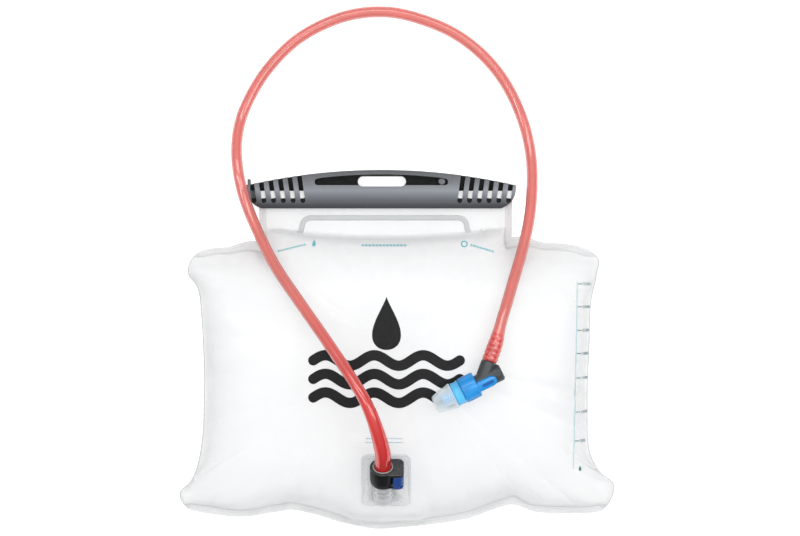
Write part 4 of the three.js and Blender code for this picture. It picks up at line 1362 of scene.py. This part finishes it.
def printed(name, loops, material, step=3.0, lift=0.16):
    """Flat shapes laid on the front film."""
    points, edges = [], []
    for loop in loops:
        start = len(points)
        p = np.array(loop + [loop[0]], float)
        fine = [p[0]]
        for a, b in zip(p[:-1], p[1:]):
            pieces = max(1, int(np.linalg.norm(b - a) / step))
            fine += [mix(a, b, k / pieces) for k in range(1, pieces + 1)]
        fine = fine[:-1]
        points += [tuple(q) for q in fine]
        edges += [(start + k, start + (k + 1) % len(fine)) for k in range(len(fine))]
    low, high = np.min(points, 0), np.max(points, 0)
    xs, ys = np.meshgrid(*(np.arange(low[k] + step / 2, high[k], step) for k in (0, 1)))
    inner = np.column_stack([xs.ravel(), ys.ravel()])
    points += [tuple(q) for q in inner[inside_of(inner, loops)]]
    flat, _, tris, *_ = delaunay_2d_cdt([Vector(p) for p in points], edges, [], 0, 1e-4)
    flat = np.array([tuple(v) for v in flat])
    tris = [t for t in tris if len(t) == 3]
    middles = np.array([flat[list(t)].mean(0) for t in tris])
    keep = inside_of(middles, loops)
    verts = []
    for x, y in flat:
        spot, normal = film_hit(x, y)
        verts.append(spot + (normal if normal.z > 0 else -normal) * lift * MM)
    obj = new_object(name, verts, [t for t, k in zip(tris, keep) if k])
    return finish_piece(obj, "reservoir", material, "film")


def stroke(points, width):
    """A line of that width with round ends, as one closed loop."""
    p = np.array(points, float)
    tangent = unit(np.gradient(p, axis=0))
    side = np.stack([-tangent[:, 1], tangent[:, 0]], 1) * width / 2
    there = [*(p + side), *round_end(p[-1], tangent[-1], width / 2)]
    back = [*(p - side)[::-1], *round_end(p[0], -tangent[0], width / 2)]
    return [tuple(q) for q in there + back]


def round_end(centre, direction, radius):
    start = math.degrees(math.atan2(direction[1], direction[0])) + 90
    return arc(*centre, radius, start, -180, 8)[1:-1]


def circle(x, y, radius, steps=32):
    return arc(x, y, radius, 0, 360, steps)[:-1]


def drop(x, y, width, height, steps=64):
    """Water drop standing on its round end, with its tip up."""
    loop = []
    for k in range(steps):
        a = 2 * math.pi * k / steps
        loop.append((x + width / 2 * math.sin(a) * math.sin(a / 2) ** 1.6,
                     y + height / 2 * math.cos(a)))
    return loop


def wave_band(x0, x1, y, swing, period, width):
    xs = np.linspace(x0, x1, 90)
    return stroke(np.column_stack([xs, y + swing * np.sin(2 * math.pi * (xs - x0) / period)]), width)


bands = [wave_band(-72, 54, y, 4.5, 42, 9) for y in (-8, -24, -40)]
printed("front_print", [drop(-9, 24, 36, 46), *bands], BLACK_INK)

TICKS = [57.6, 37.6, 17.2, -3, -24.3, -53.9, -79.2]
DIGITS = {
    "1": [(0.2, 0.8), (0.55, 1), (0.55, 0)],
    "2": [(0, 0.85), (0.5, 1), (0.95, 0.75), (0, 0), (1, 0)],
    "3": [(0, 1), (0.95, 1), (0.4, 0.58), (0.95, 0.3), (0.45, 0), (0, 0.1)],
    "5": [(0.95, 1), (0.1, 1), (0.05, 0.55), (0.9, 0.45), (0.8, 0), (0, 0.05)],
    "0": [(0.3, 0), (0, 0.5), (0.3, 1), (0.75, 1), (1, 0.5), (0.75, 0), (0.42, 0)],
}


def scale_x(y):
    return 153.6 + 3.6 * (y + 105) / 165


def number(value, x, y, width=1.15, height=2.2, pitch=1.75):
    loops = []
    for i, mark in enumerate(str(value)):
        left = x + i * pitch
        loops.append(stroke([(left + u * width, y + v * height) for u, v in DIGITS[mark]], 0.45))
    return loops


def scale_print():
    line = [stroke([(scale_x(y), y) for y in np.linspace(-103, 60, 40)], 0.8)]
    printed("scale_line", line, PALE_INK, 2.0)
    ticks = [stroke([(scale_x(y) + d, y) for d in (0.9, 2.6, 4.4)], 0.8) for y in TICKS]
    printed("scale_ticks", ticks, SLATE_INK, 2.0)
    numbers = []
    for i, y in enumerate(TICKS):
        numbers += number(500 * (len(TICKS) - i), scale_x(y) + 5.6, y - 1.1)
    numbers.append(drop(scale_x(-103) + 6, -103, 3.6, 5))
    printed("scale_numbers", numbers, SLATE_INK, 2.0)


def blocks(start, end, count, height, share=0.68):
    """A row of small upright blocks that reads as a line of tiny marks."""
    a, b = np.array(start, float), np.array(end, float)
    step = (b - a) / count
    up = np.array([-step[1], step[0]]) / np.linalg.norm(step) * height
    corners = [a + step * i for i in range(count)]
    return [[tuple(c), tuple(c + step * share), tuple(c + step * share + up), tuple(c + up)] for c in corners]


def small_prints():
    printed("fill_mark", blocks((-31, 90.4), (9, 90.4), 13, 1.7), TEAL_INK, 2.0)
    foot = blocks((-27, -75.8), (5, -75.8), 16, 1.1) + blocks((-27, -79.2), (5, -79.2), 16, 1.1)
    printed("foot_lines", foot, PALE_INK, 2.0)
    left = blocks((-104, 85.4), (-79, 91.6), 10, 1.4) + [drop(-72.6, 93.4, 4.6, 6.4)]
    printed("left_mark", left, TEAL_INK, 2.0)
    ring = [circle(58.8, 92.5, 3), circle(58.8, 92.5, 1.9)]
    printed("right_mark", ring + blocks((64, 91), (85, 84.6), 8, 1.6), TEAL_INK, 2.0)


scale_print()
small_prints()
